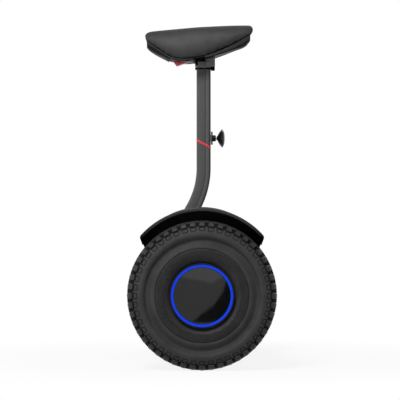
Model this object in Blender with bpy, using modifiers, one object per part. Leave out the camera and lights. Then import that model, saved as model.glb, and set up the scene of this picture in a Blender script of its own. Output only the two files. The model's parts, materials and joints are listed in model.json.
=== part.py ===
"""Self-balancing scooter with a knee-steered post, as an assembly of separate pieces.

Metres, +Z up. The origin is on the floor below the axle, midway between the wheels.
The scooter faces -X, and its axle runs along Y, so the left wheel is on the -Y side.
The post is shown at its lowest, upright and clamped.
"""

import math

import bmesh
import bpy
from mathutils import Vector

MM = 0.001
SIDES = {"left": -1, "right": 1}

# Gaps: between touching pieces, and between a turning piece and a still one
CLEARANCE = 0.3 * MM
RUNNING_GAP = 0.5 * MM

# Wheels: radii are from the axle, widths are from the tyre's middle plane
TYRE_RADIUS = 131 * MM
TYRE_HALF_WIDTH = 38 * MM
TYRE_TO_BODY = 12 * MM
WHEEL_OFFSET = TYRE_HALF_WIDTH + TYRE_TO_BODY
TREAD_PITCHES = 48
LUG_HEIGHT = 1.8 * MM
LUG_MARGIN = 1.1 * MM
SHOULDER_DEPTH = 13.5 * MM
SHOULDER_DROP = 3 * MM
CROWN_DROP = 3.2 * MM
CROWN_HALF_WIDTH = 12 * MM
VALLEY_DEPTH = 6.5 * MM
CARCASS_WALL = 7.5 * MM
BEAD_WIDTH = 13 * MM
RIM_RADIUS = 82 * MM
BARREL_HALF = 31 * MM
BARREL_WALL = 6 * MM
MOTOR_WALL = 5 * MM

MAGNET_DEPTH = 5 * MM
MAGNET_HALF = 15 * MM
STATOR_RADIUS = 69 * MM
STATOR_HALF = 12 * MM
WINDING_BULGE = 5 * MM
AXLE_RADIUS = 11 * MM
AXLE_BORE = 4 * MM
AXLE_REACH = 85 * MM
AXLE_SHOULDER = 1 * MM
STATOR_SEAT = 3 * MM
OUTER_SEAT_RADIUS = 10 * MM
OUTER_SEAT_END = 27 * MM
AXLE_NOSE_RADIUS = 8 * MM
BEARING_DEPTH = 5 * MM
BEARING_WIDTH = 6 * MM
MOTOR_COVER_THICKNESS = 4 * MM
MOTOR_COVER_FACE = 25 * MM

COVER_WALL = 2.6 * MM
COVER_CREST_RADIUS = 73.5 * MM
COVER_CREST = 38.9 * MM
COVER_INNER_RADIUS = 57.2 * MM
COVER_RECESS_RADIUS = 65.5 * MM
CAP_RADIUS = 49.5 * MM
CAP_FACE = 37.6 * MM
CAP_WALL = 3 * MM
CAP_DOME = 2.2 * MM
LIGHT_RING_WIDTH = 5.2 * MM
LIGHT_RING_FACE = 37 * MM
LIGHT_BOARD_THICKNESS = 1.7 * MM

# Body between the wheels: lengths along X are half lengths from the axle
BODY_HALF_LENGTH = 106 * MM
BODY_HALF_WIDTH = 185 * MM
TRACK = 2 * (BODY_HALF_WIDTH + WHEEL_OFFSET)
BELLY_BELOW_AXLE = 67 * MM
BELLY_HEIGHT = TYRE_RADIUS - BELLY_BELOW_AXLE
PARTING_BELOW_AXLE = 27 * MM
PARTING_HEIGHT = TYRE_RADIUS - PARTING_BELOW_AXLE
DECK_ABOVE_AXLE = 15 * MM
DECK_HEIGHT = TYRE_RADIUS + DECK_ABOVE_AXLE
DECK_EDGE_DROP = 18 * MM
DECK_EDGE_INSET = 10 * MM
BELLY_END_INSET = 34 * MM
BELLY_HALF_LENGTH = BODY_HALF_LENGTH - BELLY_END_INSET
BELLY_SLOPE_RISE = 20 * MM
BELLY_SLOPE_INSET = 8 * MM
SHELL_WALL = 3 * MM
CHASSIS_FLOOR = 4 * MM
CHASSIS_END_WALL = 9 * MM
CHASSIS_END_HALF_LENGTH = 38 * MM
AXLE_CLAMP_WIDTH = 22 * MM
AXLE_CLAMP_HALF_LENGTH = 22 * MM
AXLE_HOLE_MARGIN = 3 * MM
BATTERY_END_GAP = 6 * MM
BATTERY_HALF_LENGTH = BELLY_HALF_LENGTH - BATTERY_END_GAP
BATTERY_SIDE_GAP = 73 * MM
BATTERY_HALF_WIDTH = BODY_HALF_WIDTH - BATTERY_SIDE_GAP
BOARD_START = 4 * MM
BOARD_END = 76 * MM
BOARD_HALF_WIDTH = 60 * MM
BOARD_THICKNESS = 3 * MM
CAPACITOR_RADIUS = 8 * MM
CAPACITOR_HEIGHT = 20 * MM
MAT_LENGTH_INSET = 16 * MM
MAT_HALF_LENGTH = BODY_HALF_LENGTH - MAT_LENGTH_INSET
MAT_INNER = 56 * MM
MAT_THICKNESS = 3.7 * MM
MAT_END_GAP = 6 * MM

# Fenders: an arch over the inner part of each tyre, and the web it stands on
FENDER_OVER_TYRE = 13 * MM
FENDER_RADIUS = TYRE_RADIUS + FENDER_OVER_TYRE
FENDER_LIFT = 8.9 * MM
FENDER_HALF_ANGLE = math.radians(47.7)
FENDER_CORNER = 7 * MM
FENDER_WALL = 4 * MM
FENDER_LIP = 5.7 * MM
FENDER_LIP_WIDTH = 6 * MM
FENDER_WEB = 4 * MM
FENDER_DEPTH = 65 * MM
FENDER_REACH = BODY_HALF_WIDTH + FENDER_DEPTH
FENDER_TYRE_GAP = 3.5 * MM
FENDER_FOOT_HALF = FENDER_RADIUS * 0.684
FENDER_FOOT_DROP = 23 * MM
FENDER_FOOT_HEIGHT = TYRE_RADIUS - FENDER_FOOT_DROP
FENDER_NECK_HEIGHT = TYRE_RADIUS + FENDER_RADIUS * 0.507

# Spine between the feet, and the steering hinge inside it
SPINE_HALF_WIDTH = 48 * MM
SPINE_RADIUS = 80 * MM
SPINE_WALL = 3 * MM
SPINE_NOSE = 1 * MM
SPINE_FRONT = BODY_HALF_LENGTH + SPINE_NOSE
SPINE_TAIL_INSET = 8 * MM
SPINE_REAR = BODY_HALF_LENGTH - SPINE_TAIL_INSET
STEER_BELOW_DECK = 22 * MM
STEER_HEIGHT = DECK_HEIGHT - STEER_BELOW_DECK
STEER_LIMIT = math.radians(10)
STEER_SHAFT_RADIUS = 7 * MM
SHAFT_END_INSET = 12 * MM
STEER_SHAFT_FRONT = -BODY_HALF_LENGTH + SHAFT_END_INSET
STEER_SHAFT_REAR = -9 * MM
PIVOT_WALL = 8 * MM
SHAFT_END_REACH = 6 * MM
PIVOT_WALL_FRONT = STEER_SHAFT_FRONT + SHAFT_END_REACH
PIVOT_WALL_REAR = -38 * MM
PIVOT_WALL_HALF_WIDTH = 22 * MM
PIVOT_WALL_TOP = 15 * MM
BUSH_WALL = 3 * MM
FOOT_HALF_WIDTH = 11 * MM
FOOT_HUB_RADIUS = 13 * MM
FOOT_END_GAP = 3 * MM
SLOT_MARGIN = 1.4 * MM
SHROUD_GAP = 1 * MM
SHROUD_WALL = 3.5 * MM
SHROUD_END_INSET = 2 * MM
SHROUD_FRONT = STEER_SHAFT_FRONT + SHROUD_END_INSET
SHROUD_REAR = -30 * MM
SLOT_DEPTH = 30 * MM
SPINE_FALL = 24 * MM
BUTTON_LEVEL = 14 * MM
WINDOW_MARGIN = 10 * MM
COLLAR_WALL = 4 * MM
COLLAR_HEIGHT = 24 * MM
COLLAR_FLOOR = 4.5 * MM
SPRING_RADIUS = 10 * MM
SPRING_WIRE = 1.1 * MM
SPRING_TURNS = 4
SPRING_PITCH = 3.4 * MM

# Lights, power button and charge port
HEADLIGHT_HALF_WIDTH = 26 * MM
HEADLIGHT_HEIGHT = 14 * MM
HEADLIGHT_RISE = 8 * MM
HEADLIGHT_BASE = DECK_HEIGHT + HEADLIGHT_RISE
TAIL_LIGHT_HALF_WIDTH = 22 * MM
TAIL_LIGHT_HEIGHT = 8 * MM
TAIL_LIGHT_RISE = 6 * MM
TAIL_LIGHT_BASE = DECK_HEIGHT + TAIL_LIGHT_RISE
LENS_DEPTH = 6 * MM
BUTTON_X = 45 * MM
BUTTON_RADIUS = 9 * MM
BUTTON_PROUD = 2 * MM
BUTTON_TRAVEL = 1.5 * MM
BUTTON_FLANGE = 2.5 * MM
BUTTON_FLANGE_THICKNESS = 2 * MM
SPINE_TAIL_RISE = 34 * MM
SPINE_TAIL_CROWN = DECK_HEIGHT + SPINE_TAIL_RISE
PORT_RADIUS = 8 * MM
PORT_HEIGHT = PARTING_HEIGHT + CHASSIS_FLOOR + PORT_RADIUS + 1 * MM
PORT_FLANGE = 2 * MM
PORT_FLANGE_THICKNESS = 1.7 * MM
PORT_DEPTH = 16 * MM
PORT_BORE = 5.5 * MM
PORT_BORE_DEPTH = 12 * MM
FLAP_THICKNESS = 2 * MM
FLAP_HALF_WIDTH = 11 * MM
FLAP_HINGE_RISE = 12 * MM
FLAP_BARREL = 1.8 * MM

# Post: its straight run stands at POST_X, and its foot leans forward
POST_X = 3.4 * MM
POST_DEPTH = 26.5 * MM
POST_WIDTH = 32 * MM
POST_FRONT_CHAMFER = 3 * MM
POST_WALL = 2 * MM
BEND_TOP = 357 * MM
BEND_RADIUS = 150 * MM
BEND_ANGLE = math.radians(29)
BEND_STEPS = 7
RING_ABOVE_BEND = 44.3 * MM
RING_HEIGHT = BEND_TOP + RING_ABOVE_BEND
RING_SLOPE = 0.53
RING_THICKNESS = 4.8 * MM
MAST_ABOVE_BEND = 3 * MM
MAST_BOTTOM = BEND_TOP + MAST_ABOVE_BEND
SLEEVE_TOP = 549 * MM
MAST_BELOW_TOP = 9 * MM
MAST_TOP = SLEEVE_TOP - MAST_BELOW_TOP

# Height clamp on the rear of the sleeve
CLAMP_ABOVE_RING = 10.7 * MM
CLAMP_HEIGHT = RING_HEIGHT + CLAMP_ABOVE_RING
SCREW_RADIUS = 2.5 * MM
SHOE_POCKET_SPARE = 1.2 * MM
SHOE_THICKNESS = 2 * MM
SHOE_HALF_WIDTH = 5 * MM
SHOE_HALF_HEIGHT = 6 * MM
FLANGE_THICKNESS = 3 * MM
FLANGE_HALF_WIDTH = 9.5 * MM
FLANGE_HALF_HEIGHT = 12 * MM
BOSS_RADIUS = 6 * MM
BOSS_LENGTH = 5.2 * MM
KNOB_NECK = 2.3 * MM
KNOB_RADIUS = 16.9 * MM
KNOB_CONE = 9 * MM
KNOB_DOME = 4.2 * MM
KNOB_RIM = 1.8 * MM
KNOB_NOSE_RADIUS = 3.6 * MM
SCREW_GRIP = 8.5 * MM

# Head bracket that carries the knee pad
BRACKET_WALL = 2.4 * MM
BRACKET_COLLAR_BOTTOM = 539.5 * MM
BRACKET_COLLAR_TOP = 553.2 * MM
BRACKET_BLOCK_FRONT = 6.3 * MM
BRACKET_BLOCK_REAR = 24.1 * MM
BRACKET_BLOCK_HALF_WIDTH = 18 * MM
BRACKET_BLOCK_BOTTOM = 543.6 * MM
BRACKET_BLOCK_TOP = 565.5 * MM
BRACKET_LIP_FRONT = -16.6 * MM
BRACKET_LIP_HALF_WIDTH = 13 * MM
BRACKET_LIP_TOP = 560.8 * MM
LATCH_NOTCH_TOP = 557.4 * MM
LATCH_NOTCH_DEPTH = 3.2 * MM

# Knee pad: design curves along X, as (X, value) in millimetres
PAD_TOP_LINE = [(-105.1, 596.5), (-102.7, 604.4), (-98.6, 608.1), (-91.4, 610), (-48, 613.7),
                (4.3, 617.4), (87.9, 619.3), (92, 615.6), (94.2, 608.5)]
PAD_SEAM_LINE = [(-105.1, 592.5), (-101.8, 590), (-73, 570), (-55, 559.5), (-27, 556.3),
                 (4, 561.4), (25, 568.2), (60, 584.2), (89.2, 601.5), (94.2, 606)]
PAD_WIDTH_LINE = [(-105.1, 16), (-102.7, 24), (-98.6, 29), (-91, 34), (-70, 43), (-40, 51),
                  (-10, 53), (25, 47), (60, 37), (85, 28), (92, 23), (94.2, 16)]
BELLY_LINE = [(-101.6, 579), (-97.9, 574.8), (-87.1, 567.4), (-65, 556.2), (-54.7, 552.5),
              (-27.6, 553), (-11.7, 554.6), (28.4, 563.7), (61.8, 574.8), (80.7, 582.2), (89.4, 592)]
BASE_FRONT = -101.5 * MM
BASE_REAR = 89.2 * MM
BASE_STATIONS = 14
BASE_OVERHANG = 1.2 * MM
BASE_RIM = 3 * MM
BASE_ARCH = 18 * MM
PAD_NOSE_STATIONS = [-105.1, -103.6]
PAD_TAIL_STATIONS = [92, 94.2]

# Release lever under the front of the pad, and its pin
LATCH_PIVOT_X = -31 * MM
LATCH_PIVOT_Z = 565.5 * MM
LATCH_HALF_WIDTH = 13 * MM
LATCH_HUB_RADIUS = 3.6 * MM
LATCH_PIN_RADIUS = 1.5 * MM
LATCH_PIN_REACH = 20 * MM
LATCH_HUB_HALF_WIDTH = 8 * MM
LATCH_LINE = [(-34.6, 566), (-34.3, 560.5), (-44, 556.5), (-54.5, 562.6), (-59.8, 562), (-46.4, 545.4),
              (-25.5, 552.6), (-14.4, 553.2), (-14.4, 556.2), (-20.5, 557.2), (-27.5, 563)]
LATCH_POCKET_FRONT = -67 * MM
LATCH_POCKET_TOP = 570 * MM
LATCH_POCKET_GAP = 1.2 * MM
LATCH_SPRING_RADIUS = 2.9 * MM
LATCH_SPRING_WIRE = 0.45 * MM
LATCH_SPRING_TURNS = 3

FINE = 32
COARSE = 24
SMALL = 16


def clear_scene():
    for obj in list(bpy.data.objects):
        bpy.data.objects.remove(obj, do_unlink=True)


def new_collection(name):
    collection = bpy.data.collections.new(name)
    bpy.context.scene.collection.children.link(collection)
    return collection


clear_scene()
PARTS = new_collection("balance_scooter")
CUTTERS = new_collection("cutters")


def look(name, color, roughness, metallic=0.0):
    """A plain Principled BSDF material."""
    material = bpy.data.materials.new(name)
    material.use_nodes = True
    shader = material.node_tree.nodes["Principled BSDF"]
    shader.inputs["Base Color"].default_value = (*color, 1)
    shader.inputs["Roughness"].default_value = roughness
    shader.inputs["Metallic"].default_value = metallic
    return material


RUBBER = look("tyre_rubber", (0.035, 0.035, 0.036), 0.75)
SOFT_BLACK = look("soft_black", (0.045, 0.045, 0.046), 0.6)
SATIN_BLACK = look("satin_black", (0.03, 0.03, 0.031), 0.42)
GLOSS_BLACK = look("gloss_black", (0.012, 0.012, 0.013), 0.12)
POST_GREY = look("post_grey", (0.085, 0.085, 0.087), 0.45, 0.6)
CAST_GREY = look("cast_grey", (0.3, 0.3, 0.31), 0.5, 0.8)
STEEL = look("steel", (0.55, 0.55, 0.56), 0.3, 1.0)
COPPER = look("copper", (0.7, 0.33, 0.16), 0.35, 1.0)
RED = look("signal_red", (0.72, 0.04, 0.05), 0.4)
BLUE_LIGHT = look("blue_light", (0.004, 0.05, 0.87), 0.3)
CLEAR_LENS = look("clear_lens", (0.8, 0.82, 0.85), 0.15)
RED_LENS = look("red_lens", (0.6, 0.02, 0.02), 0.2)
BOARD_GREEN = look("board_green", (0.02, 0.16, 0.07), 0.5)
CELL_BLUE = look("cell_blue", (0.05, 0.1, 0.2), 0.5)
CUSHION_BLACK = look("cushion_black", (0.06, 0.06, 0.061), 0.65)


def empty(name, location, rotation=(0, 0, 0)):
    """A named axis that pieces are placed by."""
    axis = bpy.data.objects.new(name, None)
    axis.location = location
    axis.rotation_euler = rotation
    PARTS.objects.link(axis)
    return axis


def put(name, mesh, material, parent=None, location=(0, 0, 0), rotation=(0, 0, 0)):
    """The mesh as a piece, or as a hidden cutter where it has no material."""
    piece = bpy.data.objects.new(name, mesh)
    if material is None:
        CUTTERS.objects.link(piece)
        piece.hide_render = True
        piece.display_type = "WIRE"
    else:
        mesh.materials.append(material)
        PARTS.objects.link(piece)
    piece.parent = parent
    piece.location = location
    piece.rotation_euler = rotation
    return piece


def finished_mesh(name, bm):
    bmesh.ops.recalc_face_normals(bm, faces=bm.faces)
    mesh = bpy.data.meshes.new(name)
    bm.to_mesh(mesh)
    bm.free()
    return mesh


def box(name, low, high, material, parent=None):
    """A block between two corners."""
    bm = bmesh.new()
    bmesh.ops.create_cube(bm, size=1)
    size = [b - a for a, b in zip(low, high)]
    middle = [(a + b) / 2 for a, b in zip(low, high)]
    bmesh.ops.scale(bm, vec=size, verts=bm.verts)
    bmesh.ops.translate(bm, vec=middle, verts=bm.verts)
    return put(name, finished_mesh(name, bm), material, parent)


def prism(name, outline, axis, low, high, material, parent=None):
    """A flat outline, extruded along one axis from low to high."""
    places = {
        "X": lambda a, b, along: (along, a, b),
        "Y": lambda a, b, along: (a, along, b),
        "Z": lambda a, b, along: (a, b, along),
    }
    bm = bmesh.new()
    face = bm.faces.new([bm.verts.new(places[axis](a, b, low)) for a, b in outline])
    grown = bmesh.ops.extrude_face_region(bm, geom=[face])
    moved = [item for item in grown["geom"] if isinstance(item, bmesh.types.BMVert)]
    bmesh.ops.translate(bm, vec=places[axis](0, 0, high - low), verts=moved)
    return put(name, finished_mesh(name, bm), material, parent)


def turned(name, profile, segments, material, parent=None, closed=True, location=(0, 0, 0), rotation=(0, 0, 0)):
    """A profile of (radius, height) points turned about local Z. An open one runs down from pole to pole."""
    if closed and signed_area(profile) > 0:
        profile = profile[::-1]
    edges = [(index, index + 1) for index in range(len(profile) - 1)]
    if closed:
        edges.append((len(profile) - 1, 0))
    mesh = bpy.data.meshes.new(name)
    mesh.from_pydata([(radius, 0, height) for radius, height in profile], edges, [])
    piece = put(name, mesh, material, parent, location, rotation)
    screw = piece.modifiers.new("turn", "SCREW")
    screw.axis = "Z"
    screw.angle = math.tau
    screw.steps = segments
    screw.render_steps = segments
    screw.use_merge_vertices = True
    screw.merge_threshold = 0.00001
    return piece


def signed_area(outline):
    pairs = zip(outline, outline[1:] + outline[:1])
    return sum(a[0] * b[1] - b[0] * a[1] for a, b in pairs) / 2


def loft(name, loops, material, parent=None, ring=False, flat=False):
    """A skin through like loops: capped at both ends, or joined last to first. A flat one is all triangles."""
    bm = bmesh.new()
    rows = [[bm.verts.new(point) for point in loop] for loop in loops]
    pairs = list(zip(rows, rows[1:]))
    if ring:
        pairs.append((rows[-1], rows[0]))
    else:
        bm.faces.new(rows[0])
        bm.faces.new(rows[-1])
    for first, second in pairs:
        for index in range(len(first)):
            after = (index + 1) % len(first)
            bm.faces.new([first[index], first[after], second[after], second[index]])
    if flat:
        bmesh.ops.triangulate(bm, faces=bm.faces, quad_method="SHORT_EDGE")
    return put(name, finished_mesh(name, bm), material, parent)


def combine(piece, other, operation):
    change = piece.modifiers.new(other.name, "BOOLEAN")
    change.operation = operation
    change.object = other
    change.solver = "EXACT"
    return piece


def cut(piece, *others):
    for other in others:
        combine(piece, other, "DIFFERENCE")
    return piece


def join(piece, *others):
    for other in others:
        combine(piece, other, "UNION")
    return piece


def coil(name, radius, wire, turns, pitch, material, location, rotation):
    """A helix of round wire about local Z."""
    points_a_turn = 10
    curve = bpy.data.curves.new(name, "CURVE")
    curve.dimensions = "3D"
    curve.bevel_depth = wire
    curve.bevel_resolution = 0
    curve.use_fill_caps = True
    spline = curve.splines.new("POLY")
    count = turns * points_a_turn + 1
    spline.points.add(count - 1)
    for index in range(count):
        angle = math.tau * index / points_a_turn
        rise = pitch * index / points_a_turn
        spline.points[index].co = (radius * math.cos(angle), radius * math.sin(angle), rise, 1)
    return put(name, curve, material, None, location, rotation)


def mirrored(half):
    """An outline from its half at positive first coordinates, ordered bottom to top."""
    return half + [(-a, b) for a, b in reversed(half)]


def inset(outline, distance):
    """A convex outline, given anticlockwise, with every side moved inwards."""
    lines = []
    for start, end in zip(outline, outline[1:] + outline[:1]):
        along = (Vector(end) - Vector(start)).normalized()
        inwards = Vector((-along.y, along.x))
        lines.append((Vector(start) + inwards * distance, along))
    corners = []
    for (point_a, along_a), (point_b, along_b) in zip(lines[-1:] + lines[:-1], lines):
        reach = (point_b - point_a).cross(along_b) / along_a.cross(along_b)
        corners.append(tuple(point_a + along_a * reach))
    return corners


def curve_at(line, x):
    """The value of a design curve at x, smooth through its points, in metres."""
    x = min(max(x / MM, line[0][0]), line[-1][0])
    index = max(i for i in range(len(line) - 1) if line[i][0] <= x)
    (x0, y0), (x1, y1) = line[index], line[index + 1]

    def slope(i):
        before, after = max(i - 1, 0), min(i + 1, len(line) - 1)
        return (line[after][1] - line[before][1]) / (line[after][0] - line[before][0])

    span = x1 - x0
    t = (x - x0) / span
    start = y0 * (1 + 2 * t) * (1 - t) ** 2 + slope(index) * span * t * (1 - t) ** 2
    end = y1 * t * t * (3 - 2 * t) + slope(index + 1) * span * t * t * (t - 1)
    return (start + end) * MM


def across(side, near, far):
    """The Y range of a piece on one side, lowest first."""
    return sorted((side * near, side * far))


def outboard(side):
    """A rotation that points local Z away from the body."""
    return (-side * math.pi / 2, 0, 0)


def axle_hole(name, radius, near, far, parent, segments=SMALL):
    """A cutter along the axle between two distances from the middle of the scooter."""
    return turned(name, [(0, far), (radius, far), (radius, near), (0, near)], segments, None, parent, closed=False)


def tyre_profile():
    """Tyre section, outboard half first, as (radius, distance from the middle plane)."""
    bead = RIM_RADIUS + CLEARANCE
    crown = TYRE_RADIUS / math.cos(math.pi / TREAD_PITCHES)
    shoulder = TYRE_RADIUS - SHOULDER_DEPTH
    bulge = shoulder - SHOULDER_DEPTH * 0.6
    valley = bead + (bulge - bead) * 0.53
    bead_side = TYRE_HALF_WIDTH - 1 * MM
    bead_toe = bead_side - BEAD_WIDTH
    outboard_side = [
        (bead, bead_toe),
        (bead, bead_side),
        (valley, TYRE_HALF_WIDTH - VALLEY_DEPTH),
        (valley + 5.5 * MM, TYRE_HALF_WIDTH - 1.8 * MM),
        (bulge, TYRE_HALF_WIDTH),
        (shoulder, TYRE_HALF_WIDTH - SHOULDER_DROP),
        (crown - CROWN_DROP, TYRE_HALF_WIDTH - SHOULDER_DROP - SHOULDER_DEPTH * 0.55),
        (crown, CROWN_HALF_WIDTH),
    ]
    inboard_side = [(radius, -side) for radius, side in reversed(outboard_side)]
    cavity_half = bead_toe - 3 * MM
    cavity = [(bead + 20 * MM, cavity_half), (crown - CARCASS_WALL, cavity_half)]
    return outboard_side + inboard_side + [(r, -a) for r, a in cavity] + cavity[::-1]


def make_tyre(name, parent):
    """The carcass, with a row of raised lugs round each shoulder."""
    profile = tyre_profile()
    step = math.tau / TREAD_PITCHES
    loops = []
    for index in range(TREAD_PITCHES):
        angle = (index + 0.5) * step
        loops.append([(r * math.cos(angle), r * math.sin(angle), a) for r, a in profile])
    tyre = loft(name, loops, RUBBER, parent, ring=True)
    bm = bmesh.new()
    bm.from_mesh(tyre.data)
    shoulders = []
    for face in bm.faces:
        nearest = min(math.hypot(corner.co.x, corner.co.y) for corner in face.verts)
        middle = abs(face.calc_center_median().z)
        if nearest > TYRE_RADIUS - SHOULDER_DEPTH - 0.5 * MM and middle > TYRE_HALF_WIDTH * 0.7:
            shoulders.append(face)
    bmesh.ops.inset_individual(bm, faces=shoulders, thickness=LUG_MARGIN, depth=LUG_HEIGHT, use_even_offset=True)
    bm.to_mesh(tyre.data)
    bm.free()
    return tyre


def make_wheel(side_name, side):
    """The turning pieces of one wheel, on the wheel's own axis."""
    axis = empty(side_name + "_wheel_axis", (0, side * TRACK / 2, TYRE_RADIUS), outboard(side))
    make_tyre(side_name + "_tyre", axis)
    inner = RIM_RADIUS - BARREL_WALL
    bearing_in = AXLE_RADIUS + AXLE_SHOULDER + RUNNING_GAP
    bearing_out = bearing_in + BEARING_DEPTH
    turned(
        side_name + "_motor_shell",
        [
            (RIM_RADIUS, BARREL_HALF),
            (RIM_RADIUS, -BARREL_HALF),
            (bearing_out + CLEARANCE, -BARREL_HALF),
            (bearing_out + CLEARANCE, -BARREL_HALF + MOTOR_WALL),
            (inner, -BARREL_HALF + MOTOR_WALL),
            (inner, BARREL_HALF),
        ],
        COARSE, SATIN_BLACK, axis,
    )
    magnet_out = inner - CLEARANCE
    ring_profile = [(magnet_out, MAGNET_HALF), (magnet_out, -MAGNET_HALF),
                    (magnet_out - MAGNET_DEPTH, -MAGNET_HALF), (magnet_out - MAGNET_DEPTH, MAGNET_HALF)]
    turned(side_name + "_magnet_ring", ring_profile, COARSE, STEEL, axis)
    bearing_low = -BARREL_HALF
    bearing_ring(side_name + "_bearing_inner", bearing_in, bearing_low, axis)
    outer_in = OUTER_SEAT_RADIUS + RUNNING_GAP
    outer_low = MOTOR_COVER_FACE + 1 * MM - BEARING_WIDTH
    bearing_ring(side_name + "_bearing_outer", outer_in, outer_low, axis)
    cover_in = outer_in + BEARING_DEPTH + CLEARANCE
    cover_back = MOTOR_COVER_FACE - MOTOR_COVER_THICKNESS
    cover_out = inner - CLEARANCE
    turned(
        side_name + "_motor_cover",
        [(cover_out, MOTOR_COVER_FACE), (cover_out, cover_back), (cover_in, cover_back), (cover_in, MOTOR_COVER_FACE)],
        COARSE, SATIN_BLACK, axis,
    )
    turned(side_name + "_wheel_cover", wheel_cover_profile(), FINE, SOFT_BLACK, axis)


def bearing_ring(name, radius, low, parent):
    outer = radius + BEARING_DEPTH
    high = low + BEARING_WIDTH
    turned(name, [(outer, high), (outer, low), (radius, low), (radius, high)], SMALL, STEEL, parent)


def wheel_cover_profile():
    """A dished ring: its skirt stands on the barrel's end, and its inner foot on the motor cover."""
    edge = RIM_RADIUS - 0.4 * MM
    seat = BARREL_HALF + CLEARANCE
    foot = MOTOR_COVER_FACE + CLEARANCE
    recess_floor = foot + COVER_WALL + 0.4 * MM
    crest_back = COVER_CREST - COVER_WALL
    return [
        (edge, seat),
        (edge, COVER_CREST - 2.8 * MM),
        (edge - 3.2 * MM, COVER_CREST - 0.8 * MM),
        (COVER_CREST_RADIUS, COVER_CREST),
        (COVER_RECESS_RADIUS, COVER_CREST - 3 * MM),
        (COVER_INNER_RADIUS, recess_floor),
        (COVER_INNER_RADIUS, foot),
        (COVER_INNER_RADIUS + 3.2 * MM, foot),
        (COVER_RECESS_RADIUS + 2.2 * MM, COVER_CREST - 5.6 * MM),
        (COVER_CREST_RADIUS, crest_back),
        (edge - 3 * MM, crest_back - 2.2 * MM),
        (edge - 3 * MM, seat),
    ]


def make_hub(side_name, side):
    """The still pieces inside one wheel: axle, stator and the lamp on the axle's nose."""
    axis = empty(side_name + "_axle_axis", (0, side * TRACK / 2, TYRE_RADIUS), outboard(side))
    shoulder = AXLE_RADIUS + AXLE_SHOULDER
    seat = shoulder + STATOR_SEAT - 1 * MM
    inboard_face = -BARREL_HALF - 3 * MM
    coil_half = STATOR_HALF + WINDING_BULGE
    nose_end = OUTER_SEAT_END + CLEARANCE + LIGHT_BOARD_THICKNESS + 2 * MM
    turned(
        side_name + "_axle",
        [
            (AXLE_BORE, nose_end),
            (AXLE_NOSE_RADIUS, nose_end),
            (AXLE_NOSE_RADIUS, OUTER_SEAT_END),
            (OUTER_SEAT_RADIUS, OUTER_SEAT_END),
            (OUTER_SEAT_RADIUS, coil_half),
            (seat, coil_half),
            (seat, -coil_half),
            (shoulder, -coil_half),
            (shoulder, inboard_face),
            (AXLE_RADIUS, inboard_face),
            (AXLE_RADIUS, -AXLE_REACH),
            (AXLE_BORE, -AXLE_REACH),
        ],
        SMALL, STEEL, axis,
    )
    core = seat + CLEARANCE
    turned(
        side_name + "_stator",
        [
            (STATOR_RADIUS, STATOR_HALF),
            (STATOR_RADIUS, -STATOR_HALF),
            (STATOR_RADIUS - 5 * MM, -coil_half),
            (STATOR_RADIUS - 29 * MM, -coil_half),
            (core, -STATOR_HALF),
            (core, STATOR_HALF),
            (STATOR_RADIUS - 29 * MM, coil_half),
            (STATOR_RADIUS - 5 * MM, coil_half),
        ],
        SMALL, COPPER, axis,
    )
    board_back = OUTER_SEAT_END + CLEARANCE
    board_face = board_back + LIGHT_BOARD_THICKNESS
    ring_in = CAP_RADIUS + CLEARANCE
    ring_out = ring_in + LIGHT_RING_WIDTH
    board_in = AXLE_NOSE_RADIUS + CLEARANCE
    board_out = ring_out - 1 * MM
    turned(
        side_name + "_light_board",
        [(board_out, board_face), (board_out, board_back), (board_in, board_back), (board_in, board_face)],
        SMALL, BOARD_GREEN, axis,
    )
    lamp_seat = board_face + CLEARANCE
    turned(
        side_name + "_light_ring",
        [
            (ring_out, lamp_seat),
            (ring_in, lamp_seat),
            (ring_in, LIGHT_RING_FACE - 0.6 * MM),
            ((ring_in + ring_out) / 2, LIGHT_RING_FACE),
            (ring_out, LIGHT_RING_FACE - 1.2 * MM),
        ],
        FINE, BLUE_LIGHT, axis,
    )
    rim_height = CAP_FACE - CAP_DOME
    turned(
        side_name + "_hub_cap",
        [
            (0, CAP_FACE),
            (CAP_RADIUS * 0.6, CAP_FACE - CAP_DOME * 0.3),
            (CAP_RADIUS - 1.5 * MM, CAP_FACE - CAP_DOME * 0.75),
            (CAP_RADIUS, rim_height),
            (CAP_RADIUS, lamp_seat),
            (CAP_RADIUS - CAP_WALL, lamp_seat),
            (CAP_RADIUS - CAP_WALL, rim_height - CAP_WALL),
            (0, rim_height - CAP_WALL),
        ],
        FINE, GLOSS_BLACK, axis, closed=False,
    )


def deck_outline(wall):
    """The deck shell's side outline above the parting line, moved inwards by a wall."""
    edge = BODY_HALF_LENGTH - wall
    top = DECK_HEIGHT - wall
    bend = wall * 0.4
    half = [
        (edge, PARTING_HEIGHT),
        (edge, DECK_HEIGHT - DECK_EDGE_DROP - bend),
        (BODY_HALF_LENGTH - DECK_EDGE_INSET - wall * 0.55, top),
    ]
    return mirrored(half)


def belly_outline(wall):
    """The bottom cover's side outline below the parting line, moved inwards by a wall."""
    knee = BELLY_HEIGHT + BELLY_SLOPE_RISE
    half = [
        (BELLY_HALF_LENGTH - wall * 0.35, BELLY_HEIGHT + wall),
        (BODY_HALF_LENGTH - BELLY_SLOPE_INSET - wall * 0.85, knee + wall * 0.55),
        (BODY_HALF_LENGTH - wall, PARTING_HEIGHT - CLEARANCE),
    ]
    return mirrored(half)


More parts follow.
